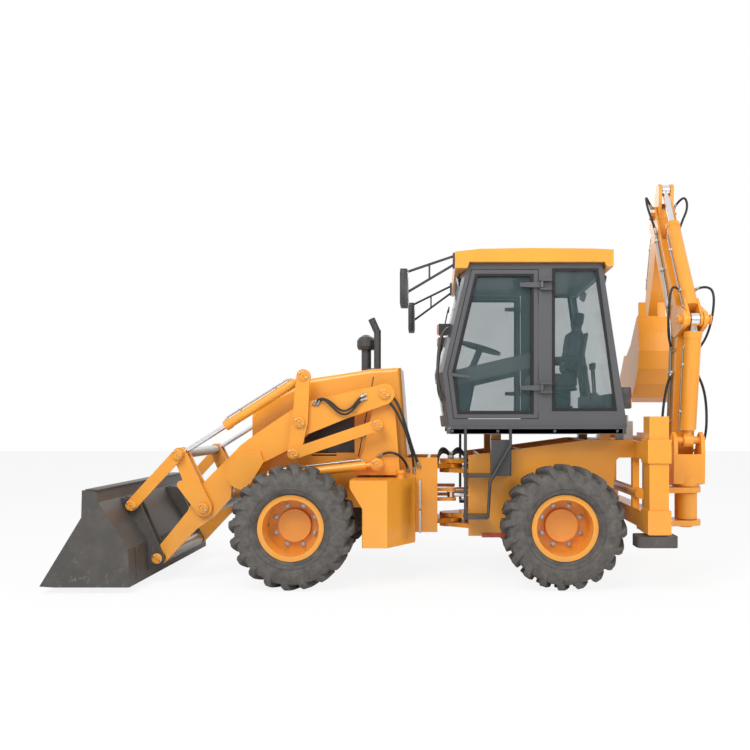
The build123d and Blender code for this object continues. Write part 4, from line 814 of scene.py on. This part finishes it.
def cylinderPipes(name, barrelJoint, rodJoint, low, high, lift, body, y):
    base = Vector(joints[barrelJoint]["pos_m"])
    way = Vector(joints[rodJoint]["axis"])
    base = Vector((base.x, y, base.z))
    up = Vector((-way.z, 0, way.x)) if way.x > 0 else Vector((way.z, 0, -way.x))
    pieces = pipeAlong(base, base + way, up * lift, low, high, 0.0085)
    return dress(joined(bothSides(pieces), name), body, "bare_steel")


cylinderPipes("tilt_cylinder_pipes", "tilt_barrel_swing", "tilt_rod_stroke", 0.13, 0.8, 0.058, "tilt_barrels", 0.595)
cylinderPipes("lift_cylinder_pipes", "lift_barrel_swing", "lift_rod_stroke", 0.13, 0.98, 0.056, "lift_barrels", 0.608)
print("loader: cylinder pipes")

# hoses

hose([at(0.64, 0.562, 1.72), at(0.575, 0.6, 1.71), at(0.49, 0.605, 1.62),
      at(0.43, 0.59, 1.45), at(0.36, 0.5, 1.2), at(0.32, 0.425, 1.08), at(0.3, 0.405, 1.03)],
     "tower_hose_first", "front_frame", 0.024)
hose([at(0.62, 0.562, 1.66), at(0.56, 0.6, 1.62), at(0.49, 0.6, 1.52),
      at(0.41, 0.57, 1.34), at(0.36, 0.48, 1.14), at(0.35, 0.42, 1.03), at(0.345, 0.405, 0.98)],
     "tower_hose_second", "front_frame", 0.022)
hose([at(0.66, 0.562, 1.13), at(0.6, 0.6, 1.17), at(0.5, 0.59, 1.16), at(0.44, 0.5, 1.1), at(0.41, 0.42, 1.03), at(0.4, 0.405, 0.99)],
     "lift_hose", "front_frame", 0.022)
for side, word in ((1, "left"), (-1, "right")):
    for number, (y, z) in enumerate(((0.25, 1.02), (0.17, 0.97))):
        meet = at(0, side * (0.022 + 0.03 * number), 1.104)
        crest = 1.15 + 0.03 * number
        for reach, body in ((0.19, "front_frame"), (-0.237, "rear_frame")):
            away = 1 if reach > 0 else -1
            hose([at(reach, side * y, z), at(reach - away * 0.05, side * y, z + 0.01), at(away * 0.11, side * y * 0.85, crest),
                  at(away * 0.04, side * y * 0.4, crest), meet], "hitch_hose_%s_%s_%d" % (body.split("_")[0], word, number), body, 0.024)
saddle = block(at(-0.03, -0.075, 1.086), at(0.03, 0.075, 1.122), 0.006)
dress(saddle, "rear_frame", "bare_steel")
saddle.name = "hitch_hose_saddle"
print("hoses: tower and hitch")
# backhoe: pipes, hoses, pin caps

post = Vector(joints["swing"]["pos_m"])


def reachPoint(aside, away, height):
    return Vector((post.x + aside, post.y - away, height))


pipeLine = [(0.19, 1.16), (0.1, 1.9), (0.06, 2.28), (0.24, 2.72), (0.47, 3.08), (0.6, 3.31)]
for side in (1, -1):
    word = "inner" if side > 0 else "outer"
    pieces = []
    for row in (0, 1):
        spots = [reachPoint(side * 0.113, away + 0.035 * row, height) for away, height in pipeLine]
        spots = [spots[0] - Vector((side * 0.008, 0, 0))] + spots + [spots[-1] - Vector((side * 0.008, 0, 0))]
        pieces.append(asMesh(tube(spots, 0.0085, "pipe", 3, 4)))
    for away, height in ((0.155, 1.45), (0.1, 1.9), (0.15, 2.53), (0.36, 2.91), (0.56, 3.23)):
        spot = reachPoint(side * 0.111, away + 0.018, height)
        pieces.append(block(spot - Vector((0.013, 0.042, 0.016)), spot + Vector((0.013, 0.042, 0.016)), 0.003))
        pieces += hexHead(spot + Vector((side * 0.012, 0, 0)), (side, 0, 0), 0.017, 0.01)
    dress(joined(pieces, "boom_pipes_" + word), "boom", "bare_steel")
    hose([reachPoint(side * 0.112, 0.6, 3.32), reachPoint(side * 0.14, 0.6, 3.42), reachPoint(side * 0.2, 0.58, 3.56), reachPoint(side * 0.2, 0.66, 3.7),
          reachPoint(side * 0.15, 0.74, 3.67), reachPoint(side * 0.112, 0.755, 3.605)], "boom_tip_hose_" + word, "boom", 0.023)
    hose([reachPoint(side * 0.108, 0.03, 2.1), reachPoint(side * 0.16, -0.02, 2.16), reachPoint(side * 0.2, -0.13, 2.36), reachPoint(side * 0.2, -0.2, 2.62),
          reachPoint(side * 0.13, -0.1, 2.68), reachPoint(side * 0.07, -0.044, 2.65)], "dipper_cylinder_hose_" + word, "boom", 0.022)
    hose([reachPoint(side * 0.112, 0.17, 1.18), reachPoint(side * 0.15, 0.13, 1.16), reachPoint(side * 0.21, 0.06, 1.3), reachPoint(side * 0.2, 0.02, 1.62),
          reachPoint(side * 0.15, 0.03, 1.84), reachPoint(side * 0.108, 0.06, 1.9)], "boom_foot_hose_" + word, "boom", 0.024)
print("backhoe: boom pipes and hoses")

for name, joint, rodJoint, low, high, lift, body in (("boom_cylinder_pipes", "boom_barrel_swing", "boom_rod_stroke", 0.1, 0.86, 0.082, "boom_barrel"),
                                                ("dipper_cylinder_pipes", "dipper_barrel_swing", "dipper_rod_stroke", 0.15, 1.06, 0.074, "dipper_barrel"),
                                                ("digging_cylinder_pipes", "scoop_barrel_swing", "scoop_rod_stroke", 0.1, 0.66, 0.058, "bucket_barrel")):
    base = Vector(joints[joint]["pos_m"])
    way = Vector(joints[rodJoint]["axis"])
    pieces = pipeAlong(base, base + way, Vector((lift, 0, 0)), low, high, 0.008)
    dress(joined(pieces, name), body, "bare_steel")

for name, joint, reach, body in (("boom_foot", "boom_lower", 0.153, "kingpost"), ("clevis", "dipper_barrel_swing", 0.138, "boom"),
                                 ("dipper_pivot", "dipper_reach", 0.115, "boom")):
    pieces = []
    for side in (1, -1):
        spot = Vector(joints[joint]["pos_m"]) + Vector((side * reach, 0, 0))
        out = Vector((side, 0, 0))
        pieces.append(turned(spot, spot + out * 0.009, 0.046, 0.003, 40))
        for turn in (0.7, 3.84):
            pieces += hexHead(spot + out * 0.009 + Vector((0, 0.032 * math.cos(turn), 0.032 * math.sin(turn))), out, 0.015, 0.009)
    dress(joined(pieces, name + "_caps"), body, "yellow_paint")

# loader arm: service hoses on the outside

for sideways, word in ((1, "left"), (-1, "right")):
    for row in (0, 1):
        path = [(1.24 - 0.03 * row, 0.624, 1.6), (1.2 - 0.03 * row, 0.65, 1.66), (1.1, 0.664, 1.64 - 0.03 * row), (0.99, 0.664, 1.53 - 0.03 * row),
                (0.9, 0.66, 1.56 - 0.03 * row), (0.83, 0.645, 1.66 - 0.03 * row), (0.78, 0.624, 1.69 - 0.04 * row)]
        hose([at(x, sideways * y, z) for x, y, z in path], "arm_hose_%s_%d" % (word, row), "loader_arms", 0.02)
print("backhoe caps, arm hoses")
